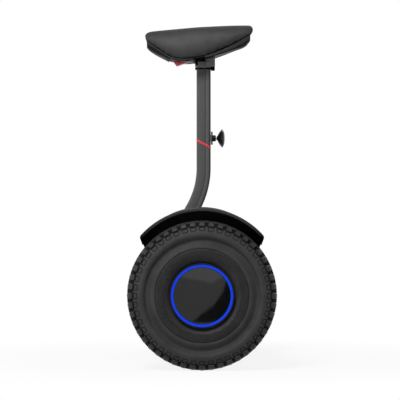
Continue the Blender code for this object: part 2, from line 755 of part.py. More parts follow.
def make_shells():
    """Deck shell and bottom cover: two tubs that meet at the parting line."""
    inside = BODY_HALF_WIDTH - SHELL_WALL
    deck = prism("deck_shell", deck_outline(0), "Y", -BODY_HALF_WIDTH, BODY_HALF_WIDTH, SATIN_BLACK)
    hollow = [(a, b - 2 * MM if b == PARTING_HEIGHT else b) for a, b in deck_outline(SHELL_WALL)]
    cut(deck, prism("deck_hollow", hollow, "Y", -inside, inside, None))
    window_low = (PIVOT_WALL_FRONT - 4 * MM, -PIVOT_WALL_HALF_WIDTH - WINDOW_MARGIN, DECK_HEIGHT - SHELL_WALL - 2 * MM)
    window_high = (BUTTON_X + BUTTON_RADIUS + 6 * MM, PIVOT_WALL_HALF_WIDTH + WINDOW_MARGIN, DECK_HEIGHT + 2 * MM)
    cut(deck, box("deck_window", window_low, window_high, None))
    for side_name, side in SIDES.items():
        axis = empty(side_name + "_end_axis", (0, 0, TYRE_RADIUS), outboard(side))
        hole = axle_hole(
            side_name + "_deck_hole", AXLE_RADIUS + AXLE_HOLE_MARGIN, inside - 4 * MM, BODY_HALF_WIDTH + 4 * MM, axis
        )
        cut(deck, hole)
    port = turned(
        "port_hole",
        [(0, BODY_HALF_LENGTH + 4 * MM), (PORT_RADIUS + CLEARANCE, BODY_HALF_LENGTH + 4 * MM),
         (PORT_RADIUS + CLEARANCE, BODY_HALF_LENGTH - SHELL_WALL - 4 * MM),
         (0, BODY_HALF_LENGTH - SHELL_WALL - 4 * MM)],
        SMALL, None, closed=False, location=(0, 0, PORT_HEIGHT), rotation=(0, math.pi / 2, 0),
    )
    cut(deck, port)
    belly = prism("bottom_cover", belly_outline(0), "Y", -BODY_HALF_WIDTH, BODY_HALF_WIDTH, SATIN_BLACK)
    open_top = PARTING_HEIGHT - CLEARANCE
    hollow = [(a, b + 2 * MM if b == open_top else b) for a, b in belly_outline(SHELL_WALL)]
    cut(belly, prism("belly_hollow", hollow, "Y", -inside, inside, None))


def make_chassis():
    """A cast tray that ties both axles and the steering hinge together."""
    half_length = BODY_HALF_LENGTH - SHELL_WALL - CLEARANCE
    half_width = BODY_HALF_WIDTH - SHELL_WALL - CLEARANCE
    floor_top = PARTING_HEIGHT + CHASSIS_FLOOR
    ceiling = DECK_HEIGHT - SHELL_WALL - CLEARANCE
    chassis = box(
        "chassis", (-half_length, -half_width, PARTING_HEIGHT), (half_length, half_width, floor_top), CAST_GREY
    )
    sunk = floor_top - CHASSIS_FLOOR / 2
    for side_name, side in SIDES.items():
        low_y, high_y = across(side, half_width - CHASSIS_END_WALL, half_width)
        end = box(
            side_name + "_chassis_end",
            (-CHASSIS_END_HALF_LENGTH, low_y, sunk), (CHASSIS_END_HALF_LENGTH, high_y, ceiling), None,
        )
        join(chassis, end)
    top = STEER_HEIGHT + PIVOT_WALL_TOP
    for name, start in (("front", PIVOT_WALL_FRONT), ("rear", PIVOT_WALL_REAR)):
        wall = box(
            name + "_pivot_wall", (start, -PIVOT_WALL_HALF_WIDTH, sunk),
            (start + PIVOT_WALL, PIVOT_WALL_HALF_WIDTH, top), None,
        )
        join(chassis, wall)
    for side_name, side in SIDES.items():
        hole = axle_hole(
            side_name + "_chassis_hole", AXLE_RADIUS + CLEARANCE, half_width - CHASSIS_END_WALL - 4 * MM,
            half_width + 4 * MM, bpy.data.objects[side_name + "_end_axis"],
        )
        cut(chassis, hole)
    bush_out = STEER_SHAFT_RADIUS + RUNNING_GAP + BUSH_WALL
    cut(chassis, along_x("bush_bore", bush_out + CLEARANCE, PIVOT_WALL_FRONT - 4 * MM,
                         PIVOT_WALL_REAR + PIVOT_WALL + 4 * MM, SMALL, None, STEER_HEIGHT))
    for side_name, side in SIDES.items():
        outer = half_width - CHASSIS_END_WALL - CLEARANCE
        low_y, high_y = across(side, outer - AXLE_CLAMP_WIDTH, outer)
        clamp = box(
            side_name + "_axle_clamp",
            (-AXLE_CLAMP_HALF_LENGTH, low_y, floor_top + CLEARANCE), (AXLE_CLAMP_HALF_LENGTH, high_y, ceiling), STEEL,
        )
        hole = axle_hole(
            side_name + "_clamp_hole", AXLE_RADIUS + CLEARANCE, outer - AXLE_CLAMP_WIDTH - 4 * MM,
            outer + 4 * MM, bpy.data.objects[side_name + "_end_axis"],
        )
        cut(clamp, hole)


def along_x(name, radius, start, end, segments, material, height, parent=None):
    """A solid cylinder along X."""
    return turned(
        name, [(0, end), (radius, end), (radius, start), (0, start)], segments, material, parent,
        closed=False, location=(0, 0, height), rotation=(0, math.pi / 2, 0),
    )


def make_inside():
    """Battery pack under the chassis floor, and the control board on it."""
    box(
        "battery_pack",
        (-BATTERY_HALF_LENGTH, -BATTERY_HALF_WIDTH, BELLY_HEIGHT + SHELL_WALL + CLEARANCE),
        (BATTERY_HALF_LENGTH, BATTERY_HALF_WIDTH, PARTING_HEIGHT - CLEARANCE), CELL_BLUE,
    )
    bottom = PARTING_HEIGHT + CHASSIS_FLOOR + CLEARANCE
    board = box(
        "control_board", (BOARD_START, -BOARD_HALF_WIDTH, bottom),
        (BOARD_END, BOARD_HALF_WIDTH, bottom + BOARD_THICKNESS), BOARD_GREEN,
    )
    for name, y in (("left", -BOARD_HALF_WIDTH / 2), ("right", BOARD_HALF_WIDTH / 2)):
        can = turned(
            name + "_capacitor",
            [(0, CAPACITOR_HEIGHT), (CAPACITOR_RADIUS, CAPACITOR_HEIGHT), (CAPACITOR_RADIUS, 0), (0, 0)],
            SMALL, None, closed=False,
            location=((BOARD_START + BOARD_END) / 2, y, bottom + BOARD_THICKNESS / 2),
        )
        join(board, can)


def make_foot_mats():
    bottom = DECK_HEIGHT + CLEARANCE
    for side_name, side in SIDES.items():
        low_y, high_y = across(side, MAT_INNER, BODY_HALF_WIDTH - MAT_END_GAP)
        mat = box(
            side_name + "_foot_mat", (-MAT_HALF_LENGTH, low_y, bottom),
            (MAT_HALF_LENGTH, high_y, bottom + MAT_THICKNESS), SOFT_BLACK,
        )
        soften(mat, 1.2 * MM)


def soften(piece, width):
    bevel = piece.modifiers.new("soft_edges", "BEVEL")
    bevel.width = width
    bevel.segments = 1
    bevel.limit_method = "ANGLE"
    bevel.angle_limit = math.radians(40)


def fender_outline():
    """Side outline of a fender: arch, rounded corners, then down to the body's side."""
    centre = TYRE_RADIUS + FENDER_LIFT
    half = [(FENDER_FOOT_HALF, FENDER_FOOT_HEIGHT), (FENDER_FOOT_HALF, FENDER_NECK_HEIGHT)]
    corner_radius = FENDER_RADIUS - FENDER_CORNER
    corner_x = corner_radius * math.sin(FENDER_HALF_ANGLE)
    corner_z = centre + corner_radius * math.cos(FENDER_HALF_ANGLE)
    reach_x = corner_x - FENDER_FOOT_HALF
    reach_z = corner_z - FENDER_NECK_HEIGHT
    first = math.atan2(reach_x, reach_z) + math.asin(FENDER_CORNER / math.hypot(reach_x, reach_z)) + math.pi / 2
    turns = 4
    for index in range(turns):
        angle = first + (FENDER_HALF_ANGLE - first) * index / turns
        half.append((corner_x + FENDER_CORNER * math.sin(angle), corner_z + FENDER_CORNER * math.cos(angle)))
    arch_steps = 9
    for index in range(arch_steps):
        angle = FENDER_HALF_ANGLE * (1 - index / arch_steps)
        half.append((FENDER_RADIUS * math.sin(angle), centre + FENDER_RADIUS * math.cos(angle)))
    top = [(0, centre + FENDER_RADIUS)]
    return half + top + [(-a, b) for a, b in reversed(half)]


def make_fenders():
    outline = fender_outline()
    web_in = BODY_HALF_WIDTH + CLEARANCE
    web_out = web_in + FENDER_WEB
    lip_start = FENDER_REACH - FENDER_LIP_WIDTH
    past = FENDER_REACH + 4 * MM
    sweep = TYRE_RADIUS + FENDER_TYRE_GAP
    for side_name, side in SIDES.items():
        low_y, high_y = across(side, web_in, FENDER_REACH)
        fender = prism(side_name + "_fender", outline, "Y", low_y, high_y, SATIN_BLACK)
        inner_low, inner_high = across(side, web_out, lip_start + 1 * MM)
        outer_low, outer_high = across(side, lip_start, past)
        axis = bpy.data.objects[side_name + "_end_axis"]
        cut(
            fender,
            prism(side_name + "_fender_well", inset(outline, FENDER_WALL), "Y", inner_low, inner_high, None),
            prism(side_name + "_fender_mouth", inset(outline, FENDER_LIP), "Y", outer_low, outer_high, None),
            axle_hole(side_name + "_tyre_sweep", sweep, web_out, past, axis, FINE),
            axle_hole(side_name + "_fender_hole", AXLE_RADIUS + AXLE_HOLE_MARGIN, web_in - 4 * MM, web_out + 4 * MM, axis),
        )


def spine_sections():
    """Stations of the spine as (X, half width, crown height, share of the full height)."""
    crown = STEER_HEIGHT + SPINE_RADIUS
    wide = SPINE_HALF_WIDTH
    return [
        (-SPINE_FRONT + 1 * MM, wide - 8 * MM, crown, 0),
        (-SPINE_FRONT, wide - 6 * MM, crown, 0.55),
        (-SPINE_FRONT + 4 * MM, wide - 2 * MM, crown, 0.88),
        (SHROUD_FRONT - 2 * MM, wide, crown, 1),
        (SHROUD_REAR + 2 * MM, wide, crown, 1),
        (SHROUD_REAR + 14 * MM, wide, crown - 4 * MM, 1),
        (SHROUD_REAR + 14 * MM + SPINE_FALL, wide - 2 * MM, (crown + SPINE_TAIL_CROWN) / 2, 1),
        (BUTTON_X - BUTTON_RADIUS - BUTTON_LEVEL, wide - 4 * MM, SPINE_TAIL_CROWN, 1),
        (BUTTON_X + BUTTON_RADIUS + BUTTON_LEVEL, wide - 7 * MM, SPINE_TAIL_CROWN, 1),
        (SPINE_REAR - 10 * MM, wide - 10 * MM, SPINE_TAIL_CROWN - 4 * MM, 1),
        (SPINE_REAR, wide - 13 * MM, SPINE_TAIL_CROWN, 0.62),
        (SPINE_REAR - 1 * MM, wide - 14 * MM, SPINE_TAIL_CROWN, 0),
    ]


def make_spine():
    """The cover between the feet. Its crown is a cylinder about the steering axis."""
    base = DECK_HEIGHT + CLEARANCE
    shares = [1, 1, 0.78, 0.52, 0.26, 0, -0.26, -0.52, -0.78, -1, -1]
    bm = bmesh.new()
    rows = []
    for x, half_width, crown, share in spine_sections():
        row = []
        for index, place in enumerate(shares):
            y = place * half_width
            drop = SPINE_RADIUS - math.sqrt(SPINE_RADIUS ** 2 - y ** 2)
            full = crown - drop if 0 < index < len(shares) - 1 else base
            row.append(bm.verts.new((x, y, base + (full - base) * share)))
        rows.append(row)
    for first, second in zip(rows, rows[1:]):
        for index in range(len(shares) - 1):
            corners = [first[index], second[index], second[index + 1], first[index + 1]]
            bm.faces.new(corners)
    bmesh.ops.remove_doubles(bm, verts=bm.verts, dist=0.00001)
    bmesh.ops.dissolve_degenerate(bm, edges=bm.edges, dist=0.00001)
    cover = put("spine_cover", finished_mesh("spine_cover", bm), SATIN_BLACK)
    if sum(face.normal.z for face in cover.data.polygons) < 0:
        cover.data.flip_normals()
    shell = cover.modifiers.new("wall", "SOLIDIFY")
    shell.thickness = SPINE_WALL
    shell.offset = -1
    shell.use_even_offset = True
    swing = FOOT_HALF_WIDTH * math.cos(STEER_LIMIT) + SPINE_RADIUS * math.sin(STEER_LIMIT)
    slot_half = swing + SLOT_MARGIN
    slot_low = (PIVOT_WALL_FRONT + PIVOT_WALL, -slot_half, STEER_HEIGHT + SPINE_RADIUS - SLOT_DEPTH)
    slot_high = (PIVOT_WALL_REAR, slot_half, STEER_HEIGHT + SPINE_RADIUS + 10 * MM)
    cut(cover, box("foot_slot", slot_low, slot_high, None))
    hole = turned(
        "button_hole",
        [(0, SPINE_TAIL_CROWN + 8 * MM), (BUTTON_RADIUS + CLEARANCE, SPINE_TAIL_CROWN + 8 * MM),
         (BUTTON_RADIUS + CLEARANCE, SPINE_TAIL_CROWN - 12 * MM), (0, SPINE_TAIL_CROWN - 12 * MM)],
        SMALL, None, closed=False, location=(BUTTON_X, 0, 0),
    )
    cut(cover, hole)
    make_lens("headlight", -SPINE_FRONT, -1, HEADLIGHT_HALF_WIDTH, HEADLIGHT_BASE, HEADLIGHT_HEIGHT, CLEAR_LENS, cover)
    make_lens("tail_light", SPINE_REAR, 1, TAIL_LIGHT_HALF_WIDTH, TAIL_LIGHT_BASE, TAIL_LIGHT_HEIGHT, RED_LENS, cover)


def make_lens(name, face_x, direction, half_width, base, height, material, cover):
    """A lamp block in a window of the spine's end wall."""
    front = face_x + direction * 1 * MM
    back = face_x - direction * LENS_DEPTH
    low_x, high_x = sorted((front, back))
    lens = box(name, (low_x, -half_width, base), (high_x, half_width, base + height), material)
    soften(lens, 1 * MM)
    window = box(
        name + "_window",
        (low_x - 6 * MM, -half_width - CLEARANCE, base - CLEARANCE),
        (high_x + 6 * MM, half_width + CLEARANCE, base + height + CLEARANCE), None,
    )
    cut(cover, window)


def make_controls():
    """Power button in the spine, and the charge port with its flap in the rear of the deck shell."""
    axis = empty("power_button_axis", (BUTTON_X, 0, SPINE_TAIL_CROWN))
    flange_top = -SPINE_WALL - 1 * MM
    flange = BUTTON_RADIUS + BUTTON_FLANGE
    turned(
        "power_button",
        [
            (0, BUTTON_PROUD),
            (BUTTON_RADIUS - 1 * MM, BUTTON_PROUD),
            (BUTTON_RADIUS, BUTTON_PROUD - 1 * MM),
            (BUTTON_RADIUS, flange_top),
            (flange, flange_top),
            (flange, flange_top - BUTTON_FLANGE_THICKNESS),
            (0, flange_top - BUTTON_FLANGE_THICKNESS),
        ],
        SMALL, GLOSS_BLACK, axis, closed=False,
    )
    face = BODY_HALF_LENGTH + CLEARANCE
    flange_face = face + PORT_FLANGE_THICKNESS
    port_axis = empty("charge_port_axis", (0, 0, PORT_HEIGHT), (0, math.pi / 2, 0))
    turned(
        "charge_port",
        [
            (0, flange_face - PORT_BORE_DEPTH),
            (PORT_BORE, flange_face - PORT_BORE_DEPTH),
            (PORT_BORE, flange_face),
            (PORT_RADIUS + PORT_FLANGE, flange_face),
            (PORT_RADIUS + PORT_FLANGE, face),
            (PORT_RADIUS, face),
            (PORT_RADIUS, face - PORT_DEPTH),
            (0, face - PORT_DEPTH),
        ],
        SMALL, GLOSS_BLACK, port_axis, closed=False,
    )
    flap_back = flange_face + CLEARANCE
    hinge = empty("charge_cap_axis", (flap_back, 0, PORT_HEIGHT + FLAP_HINGE_RISE))
    flap = box(
        "charge_cap", (0, -FLAP_HALF_WIDTH, -FLAP_HINGE_RISE - PORT_RADIUS - PORT_FLANGE),
        (FLAP_THICKNESS, FLAP_HALF_WIDTH, FLAP_BARREL / 2), SOFT_BLACK, hinge,
    )
    barrel = turned(
        "flap_barrel",
        [(0, FLAP_HALF_WIDTH * 0.7), (FLAP_BARREL, FLAP_HALF_WIDTH * 0.7),
         (FLAP_BARREL, -FLAP_HALF_WIDTH * 0.7), (0, -FLAP_HALF_WIDTH * 0.7)],
        SMALL, None, hinge, closed=False, rotation=(math.pi / 2, 0, 0),
    )
    join(flap, barrel)


def post_section(distance=0.0):
    """The post's section as (depth, width) about its centre, front first, moved inwards by a distance."""
    front, rear = -POST_DEPTH / 2, POST_DEPTH / 2
    side = POST_WIDTH / 2
    half = [
        (front, side - POST_FRONT_CHAMFER),
        (front + POST_FRONT_CHAMFER, side),
        (front + POST_DEPTH * 0.68, side),
        (rear - POST_DEPTH * 0.07, side - 2.8 * MM),
        (rear, side - 6 * MM),
    ]
    outline = [(a, -b) for a, b in half] + [(a, b) for a, b in reversed(half)]
    return inset(outline, distance)


def level_loop(outline, height, slope=0.0):
    """The section of the straight run at a height, cut level or on a slope."""
    return [(POST_X + a, b, height - slope * a) for a, b in outline]


def bend_place(share):
    """Centre (X, Z) and lean of the post a share of the way down its bend."""
    angle = BEND_ANGLE * share
    x = POST_X - BEND_RADIUS * (1 - math.cos(angle))
    return x, BEND_TOP - BEND_RADIUS * math.sin(angle), angle


def bent_loop(outline, share):
    x, z, angle = bend_place(share)
    return [(x + a * math.cos(angle), b, z - a * math.sin(angle)) for a, b in outline]


def leaning_loop(outline, height):
    """The section of the leaning run below the bend, cut level."""
    x, z, angle = bend_place(1)
    centre = x - (z - height) * math.tan(angle)
    return [(centre + a / math.cos(angle), b, height) for a, b in outline]


def socket_floor():
    """Height of the floor that the lower tube stands on."""
    return STEER_HEIGHT + SPINE_RADIUS + COLLAR_FLOOR


def lower_tube_loops(distance, bottom):
    outline = post_section(distance)
    loops = [leaning_loop(outline, bottom)]
    loops += [bent_loop(outline, 1 - index / BEND_STEPS) for index in range(BEND_STEPS)]
    loops.append(level_loop(outline, BEND_TOP))
    loops.append(level_loop(outline, RING_HEIGHT - RING_THICKNESS / 2 - CLEARANCE, RING_SLOPE))
    return loops


def make_post():
    """Lower tube, red ring, mast and sleeve."""
    bottom = socket_floor() + CLEARANCE
    outer = lower_tube_loops(0, bottom)
    inner = lower_tube_loops(POST_WALL, bottom)
    loft("lower_tube", outer + inner[::-1], POST_GREY, ring=True)
    mast_skin = post_section(POST_WALL + CLEARANCE)
    ring_bore = post_section(POST_WALL)
    ring_low = RING_HEIGHT - RING_THICKNESS / 2
    ring_high = RING_HEIGHT + RING_THICKNESS / 2
    tube_ends = [(post_section(), ring_low), (post_section(), ring_high), (ring_bore, ring_high), (ring_bore, ring_low)]
    loft("marker_ring", [level_loop(o, z, RING_SLOPE) for o, z in tube_ends], RED, ring=True)
    mast_bore = post_section(2 * POST_WALL + CLEARANCE)
    mast_ends = [(mast_skin, MAST_BOTTOM), (mast_skin, MAST_TOP), (mast_bore, MAST_TOP), (mast_bore, MAST_BOTTOM)]
    loft("mast", [level_loop(o, z) for o, z in mast_ends], POST_GREY, ring=True)
    axis = empty("height_axis", (0, 0, 0))
    low = ring_high + CLEARANCE
    loops = [
        level_loop(post_section(), low, RING_SLOPE),
        level_loop(post_section(), SLEEVE_TOP),
        level_loop(ring_bore, SLEEVE_TOP),
        level_loop(ring_bore, low, RING_SLOPE),
    ]
    sleeve = loft("sleeve", loops, POST_GREY, axis, ring=True)
    rear = POST_X + POST_DEPTH / 2
    window = box(
        "shoe_window",
        (rear - POST_WALL - 1 * MM, -SHOE_HALF_WIDTH - CLEARANCE, CLAMP_HEIGHT - SHOE_HALF_HEIGHT - CLEARANCE),
        (rear + 1 * MM, SHOE_HALF_WIDTH + CLEARANCE, CLAMP_HEIGHT + SHOE_HALF_HEIGHT + CLEARANCE), None,
    )
    cut(sleeve, window)
    return axis


def make_post_foot():
    """Casting that hinges on the steering shaft and holds the lower tube in its collar."""
    axis = empty("steering_axis", (0, 0, STEER_HEIGHT))
    along_x("steering_shaft", STEER_SHAFT_RADIUS, STEER_SHAFT_FRONT, STEER_SHAFT_REAR, SMALL, STEEL, 0, axis)
    front = PIVOT_WALL_FRONT + PIVOT_WALL + FOOT_END_GAP
    rear = PIVOT_WALL_REAR - FOOT_END_GAP
    foot = along_x("post_foot", FOOT_HUB_RADIUS, front, rear, SMALL, CAST_GREY, 0, axis)
    shroud_in = SPINE_RADIUS + SHROUD_GAP
    shroud_out = shroud_in + SHROUD_WALL
    neck = box(
        "foot_neck", (front + 1 * MM, -FOOT_HALF_WIDTH, 0), (rear - 1 * MM, FOOT_HALF_WIDTH, shroud_in + 1.5 * MM), None, axis,
    )
    swing = FOOT_HALF_WIDTH * math.cos(STEER_LIMIT) + SPINE_RADIUS * math.sin(STEER_LIMIT) + SLOT_MARGIN
    half_angle = math.asin(swing / SPINE_RADIUS) + STEER_LIMIT + math.radians(1.5)
    steps = 8
    angles = [half_angle * (2 * index / steps - 1) for index in range(steps + 1)]
    arc = [(shroud_out * math.sin(a), shroud_out * math.cos(a)) for a in angles]
    arc += [(shroud_in * math.sin(a), shroud_in * math.cos(a)) for a in reversed(angles)]
    shroud = prism("foot_shroud", arc, "X", SHROUD_FRONT, SHROUD_REAR, None, axis)
    collar_outline = post_section(-COLLAR_WALL)
    floor = socket_floor()
    collar_bottom = STEER_HEIGHT + SPINE_RADIUS + 0.5 * MM
    collar_top = floor + COLLAR_HEIGHT
    collar = loft(
        "foot_collar", [leaning_loop(collar_outline, collar_bottom), leaning_loop(collar_outline, collar_top)], None
    )
    join(foot, neck, shroud, collar)
    socket_outline = post_section(-CLEARANCE)
    socket = loft(
        "foot_socket", [leaning_loop(socket_outline, floor), leaning_loop(socket_outline, collar_top + 20 * MM)], None
    )
    bore = along_x("shaft_bore", STEER_SHAFT_RADIUS + CLEARANCE, front - 4 * MM, rear + 4 * MM, SMALL, None, 0, axis)
    cut(foot, socket, bore)
    bush_in = STEER_SHAFT_RADIUS + RUNNING_GAP
    bush_out = bush_in + BUSH_WALL
    for name, start in (("front", PIVOT_WALL_FRONT), ("rear", PIVOT_WALL_REAR)):
        low = start - 1 * MM
        high = start + PIVOT_WALL + 1 * MM
        turned(
            name + "_bush", [(bush_out, high), (bush_out, low), (bush_in, low), (bush_in, high)], SMALL, COPPER,
            location=(0, 0, STEER_HEIGHT), rotation=(0, math.pi / 2, 0),
        )
    spring_start = PIVOT_WALL_REAR + PIVOT_WALL + 1 * MM + CLEARANCE + SPRING_WIRE
    coil(
        "centring_spring", SPRING_RADIUS, SPRING_WIRE, SPRING_TURNS, SPRING_PITCH, STEEL,
        (spring_start, 0, STEER_HEIGHT), (0, math.pi / 2, 0),
    )


def make_clamp(height_axis):
    """Flange, shoe, screw and knob that hold the sleeve on the mast."""
    rear = POST_X + POST_DEPTH / 2
    plate_front = rear + CLEARANCE
    plate_rear = plate_front + FLANGE_THICKNESS
    boss_end = plate_rear + BOSS_LENGTH
    boss = box(
        "knob_boss",
        (plate_front, -FLANGE_HALF_WIDTH, CLAMP_HEIGHT - FLANGE_HALF_HEIGHT),
        (plate_rear, FLANGE_HALF_WIDTH, CLAMP_HEIGHT + FLANGE_HALF_HEIGHT), SATIN_BLACK, height_axis,
    )
    join(boss, along_x("boss_barrel", BOSS_RADIUS, plate_rear - 1 * MM, boss_end, SMALL, None, CLAMP_HEIGHT))
    mast_rear = rear - POST_WALL - CLEARANCE
    shoe_front = mast_rear + CLEARANCE
    shoe_rear = shoe_front + SHOE_THICKNESS
    pocket_end = shoe_rear + SHOE_POCKET_SPARE + CLEARANCE
    pocket = box(
        "shoe_pocket",
        (plate_front - 1 * MM, -SHOE_HALF_WIDTH - CLEARANCE, CLAMP_HEIGHT - SHOE_HALF_HEIGHT - CLEARANCE),
        (pocket_end, SHOE_HALF_WIDTH + CLEARANCE, CLAMP_HEIGHT + SHOE_HALF_HEIGHT + CLEARANCE), None,
    )
    bore = along_x("screw_bore", SCREW_RADIUS + CLEARANCE, plate_front - 1 * MM, boss_end + 2 * MM, SMALL, None, CLAMP_HEIGHT)
    cut(boss, pocket, bore)
    shoe_axis = empty("clamp_shoe_axis", (shoe_front, 0, CLAMP_HEIGHT))
    box(
        "clamp_shoe", (0, -SHOE_HALF_WIDTH, -SHOE_HALF_HEIGHT),
        (SHOE_THICKNESS, SHOE_HALF_WIDTH, SHOE_HALF_HEIGHT), BOARD_GREEN, shoe_axis,
    )
    knob_axis = empty("clamp_knob_axis", (shoe_rear + CLEARANCE, 0, CLAMP_HEIGHT), (0, math.pi / 2, 0))
    nose = boss_end + KNOB_NECK - (shoe_rear + CLEARANCE)
    screw_end = nose + SCREW_GRIP
    turned(
        "clamp_screw", [(0, screw_end), (SCREW_RADIUS, screw_end), (SCREW_RADIUS, 0), (0, 0)],
        SMALL, STEEL, knob_axis, closed=False,
    )
    rim = nose + KNOB_CONE + KNOB_RIM
    hole = SCREW_RADIUS + CLEARANCE
    turned(
        "clamp_knob",
        [
            (0, rim + KNOB_DOME),
            (KNOB_RADIUS * 0.5, rim + KNOB_DOME * 0.86),
            (KNOB_RADIUS * 0.85, rim + KNOB_DOME * 0.42),
            (KNOB_RADIUS, rim - KNOB_RIM * 0.6),
            (KNOB_RADIUS - 1.2 * MM, rim - KNOB_RIM),
            (KNOB_NOSE_RADIUS + 3 * MM, nose + KNOB_CONE * 0.26),
            (KNOB_NOSE_RADIUS, nose),
            (hole, nose),
            (hole, screw_end + CLEARANCE),
            (0, screw_end + CLEARANCE),
        ],
        COARSE, GLOSS_BLACK, knob_axis, closed=False,
    )


def make_bracket(height_axis):
    """Casting on top of the sleeve. Its rear block carries the pad, and its front lip holds the latch."""
    collar = post_section(-BRACKET_WALL)
    loops = [level_loop(collar, BRACKET_COLLAR_BOTTOM), level_loop(collar, BRACKET_COLLAR_TOP)]
    bracket = loft("head_bracket", loops, CAST_GREY, height_axis)
    block = box(
        "bracket_block",
        (BRACKET_BLOCK_FRONT, -BRACKET_BLOCK_HALF_WIDTH, BRACKET_BLOCK_BOTTOM),
        (BRACKET_BLOCK_REAR, BRACKET_BLOCK_HALF_WIDTH, BRACKET_BLOCK_TOP), None,
    )
    lip_low = SLEEVE_TOP + CLEARANCE
    lip = box(
        "bracket_lip",
        (BRACKET_LIP_FRONT, -BRACKET_LIP_HALF_WIDTH, lip_low + 1.5 * MM),
        (POST_X, BRACKET_LIP_HALF_WIDTH, BRACKET_LIP_TOP), None,
    )
    join(bracket, block, lip)
    socket = post_section(-CLEARANCE)
    notch_half = LATCH_HUB_HALF_WIDTH + RUNNING_GAP
    cut(
        bracket,
        loft("sleeve_socket", [level_loop(socket, BRACKET_COLLAR_BOTTOM - 8 * MM), level_loop(socket, lip_low)], None),
        box("latch_notch", (BRACKET_LIP_FRONT - 2 * MM, -notch_half, lip_low - 1 * MM),
            (BRACKET_LIP_FRONT + LATCH_NOTCH_DEPTH, notch_half, LATCH_NOTCH_TOP), None),
    )


def base_width(x):
    return curve_at(PAD_WIDTH_LINE, x) - BASE_OVERHANG


def arch_height(x, y):
    """Height of the surface between the base shell and the cushion."""
    share = y / base_width(x)
    return curve_at(PAD_SEAM_LINE, x) + BASE_ARCH * arch_share(x) * (1 - share * share)


def arch_share(x):
    """The arch fades out towards both ends of the pad, so that the cushion keeps its thickness."""
    middle = (BASE_FRONT + BASE_REAR) / 2
    reach = abs(x - middle) / ((BASE_REAR - BASE_FRONT) / 2)
    return max(0.0, 1 - reach ** 3) * 0.85 + 0.15


def base_positions():
    """Stations of the base along X, closer together towards its ends."""
    middle = (BASE_FRONT + BASE_REAR) / 2
    half = (BASE_REAR - BASE_FRONT) / 2
    count = BASE_STATIONS - 1
    return [middle - half * math.cos(math.pi * index / count) for index in range(BASE_STATIONS)]


ARCH_SHARES = [1, 0.75, 0.5, 0.25, 0, -0.25, -0.5, -0.75, -1]


def base_loop(x):
    width = base_width(x)
    rim = curve_at(PAD_SEAM_LINE, x) - BASE_RIM
    belly = min(curve_at(BELLY_LINE, x), rim)
    top = [(x, share * width, arch_height(x, share * width)) for share in ARCH_SHARES]
    bottom = []
    for share in reversed(ARCH_SHARES):
        bottom.append((x, share * width, belly + (rim - belly) * abs(share) ** 2.5))
    return top + bottom


def cushion_loop(x):
    """A crowned section whose sides swell out and draw in again at the seam."""
    width = curve_at(PAD_WIDTH_LINE, x)
    seam = curve_at(PAD_SEAM_LINE, x)
    height = curve_at(PAD_TOP_LINE, x) - seam
    half = [(1, 0.25), (0.965, 0.45), (0.875, 0.61), (0.7, 0.79), (0.42, 0.95)]
    side = [(x, base_width(x), seam + CLEARANCE)]
    side += [(x, share * width, seam + CLEARANCE + rise * height) for share, rise in half]
    crown = [(x, 0, seam + height)]
    other = [(x, -y, z) for _, y, z in reversed(side)]
    under = []
    for share in ARCH_SHARES[::-1]:
        y = share * base_width(x)
        if abs(share) < 1:
            under.append((x, y, min(arch_height(x, y), seam + height * 0.8) + CLEARANCE))
    return side + crown + other + under


def make_pad(height_axis):
    """Base shell, cushion, and the release lever with its pin and spring."""
    stations = base_positions()
    base = loft("pad_base", [base_loop(x) for x in stations], SATIN_BLACK, height_axis, flat=True)
    block_pocket = box(
        "block_pocket",
        (BRACKET_BLOCK_FRONT - CLEARANCE, -BRACKET_BLOCK_HALF_WIDTH - CLEARANCE, BRACKET_BLOCK_BOTTOM - 10 * MM),
        (BRACKET_BLOCK_REAR + CLEARANCE, BRACKET_BLOCK_HALF_WIDTH + CLEARANCE, BRACKET_BLOCK_TOP + CLEARANCE), None,
    )
    lip_pocket = box(
        "lip_pocket",
        (BRACKET_LIP_FRONT - CLEARANCE, -POST_WIDTH / 2 - BRACKET_WALL - CLEARANCE, BRACKET_COLLAR_BOTTOM),
        (POST_X + POST_DEPTH / 2, POST_WIDTH / 2 + BRACKET_WALL + CLEARANCE, BRACKET_LIP_TOP + CLEARANCE), None,
    )
    pocket_half = LATCH_HALF_WIDTH + LATCH_POCKET_GAP
    latch_pocket = box(
        "latch_pocket", (LATCH_POCKET_FRONT, -pocket_half, BRACKET_COLLAR_BOTTOM),
        (BRACKET_LIP_FRONT + 1 * MM, pocket_half, LATCH_POCKET_TOP), None,
    )
    pin_hole = turned(
        "pin_hole",
        [(0, LATCH_PIN_REACH), (LATCH_PIN_RADIUS + CLEARANCE, LATCH_PIN_REACH),
         (LATCH_PIN_RADIUS + CLEARANCE, -LATCH_PIN_REACH), (0, -LATCH_PIN_REACH)],
        SMALL, None, closed=False, location=(LATCH_PIVOT_X, 0, LATCH_PIVOT_Z), rotation=(math.pi / 2, 0, 0),
    )
    cut(base, block_pocket, lip_pocket, latch_pocket, pin_hole)
    ends = [x * MM for x in PAD_NOSE_STATIONS], [x * MM for x in PAD_TAIL_STATIONS]
    loft("cushion", [cushion_loop(x) for x in ends[0] + stations + ends[1]], CUSHION_BLACK, height_axis, flat=True)
    make_latch(height_axis)


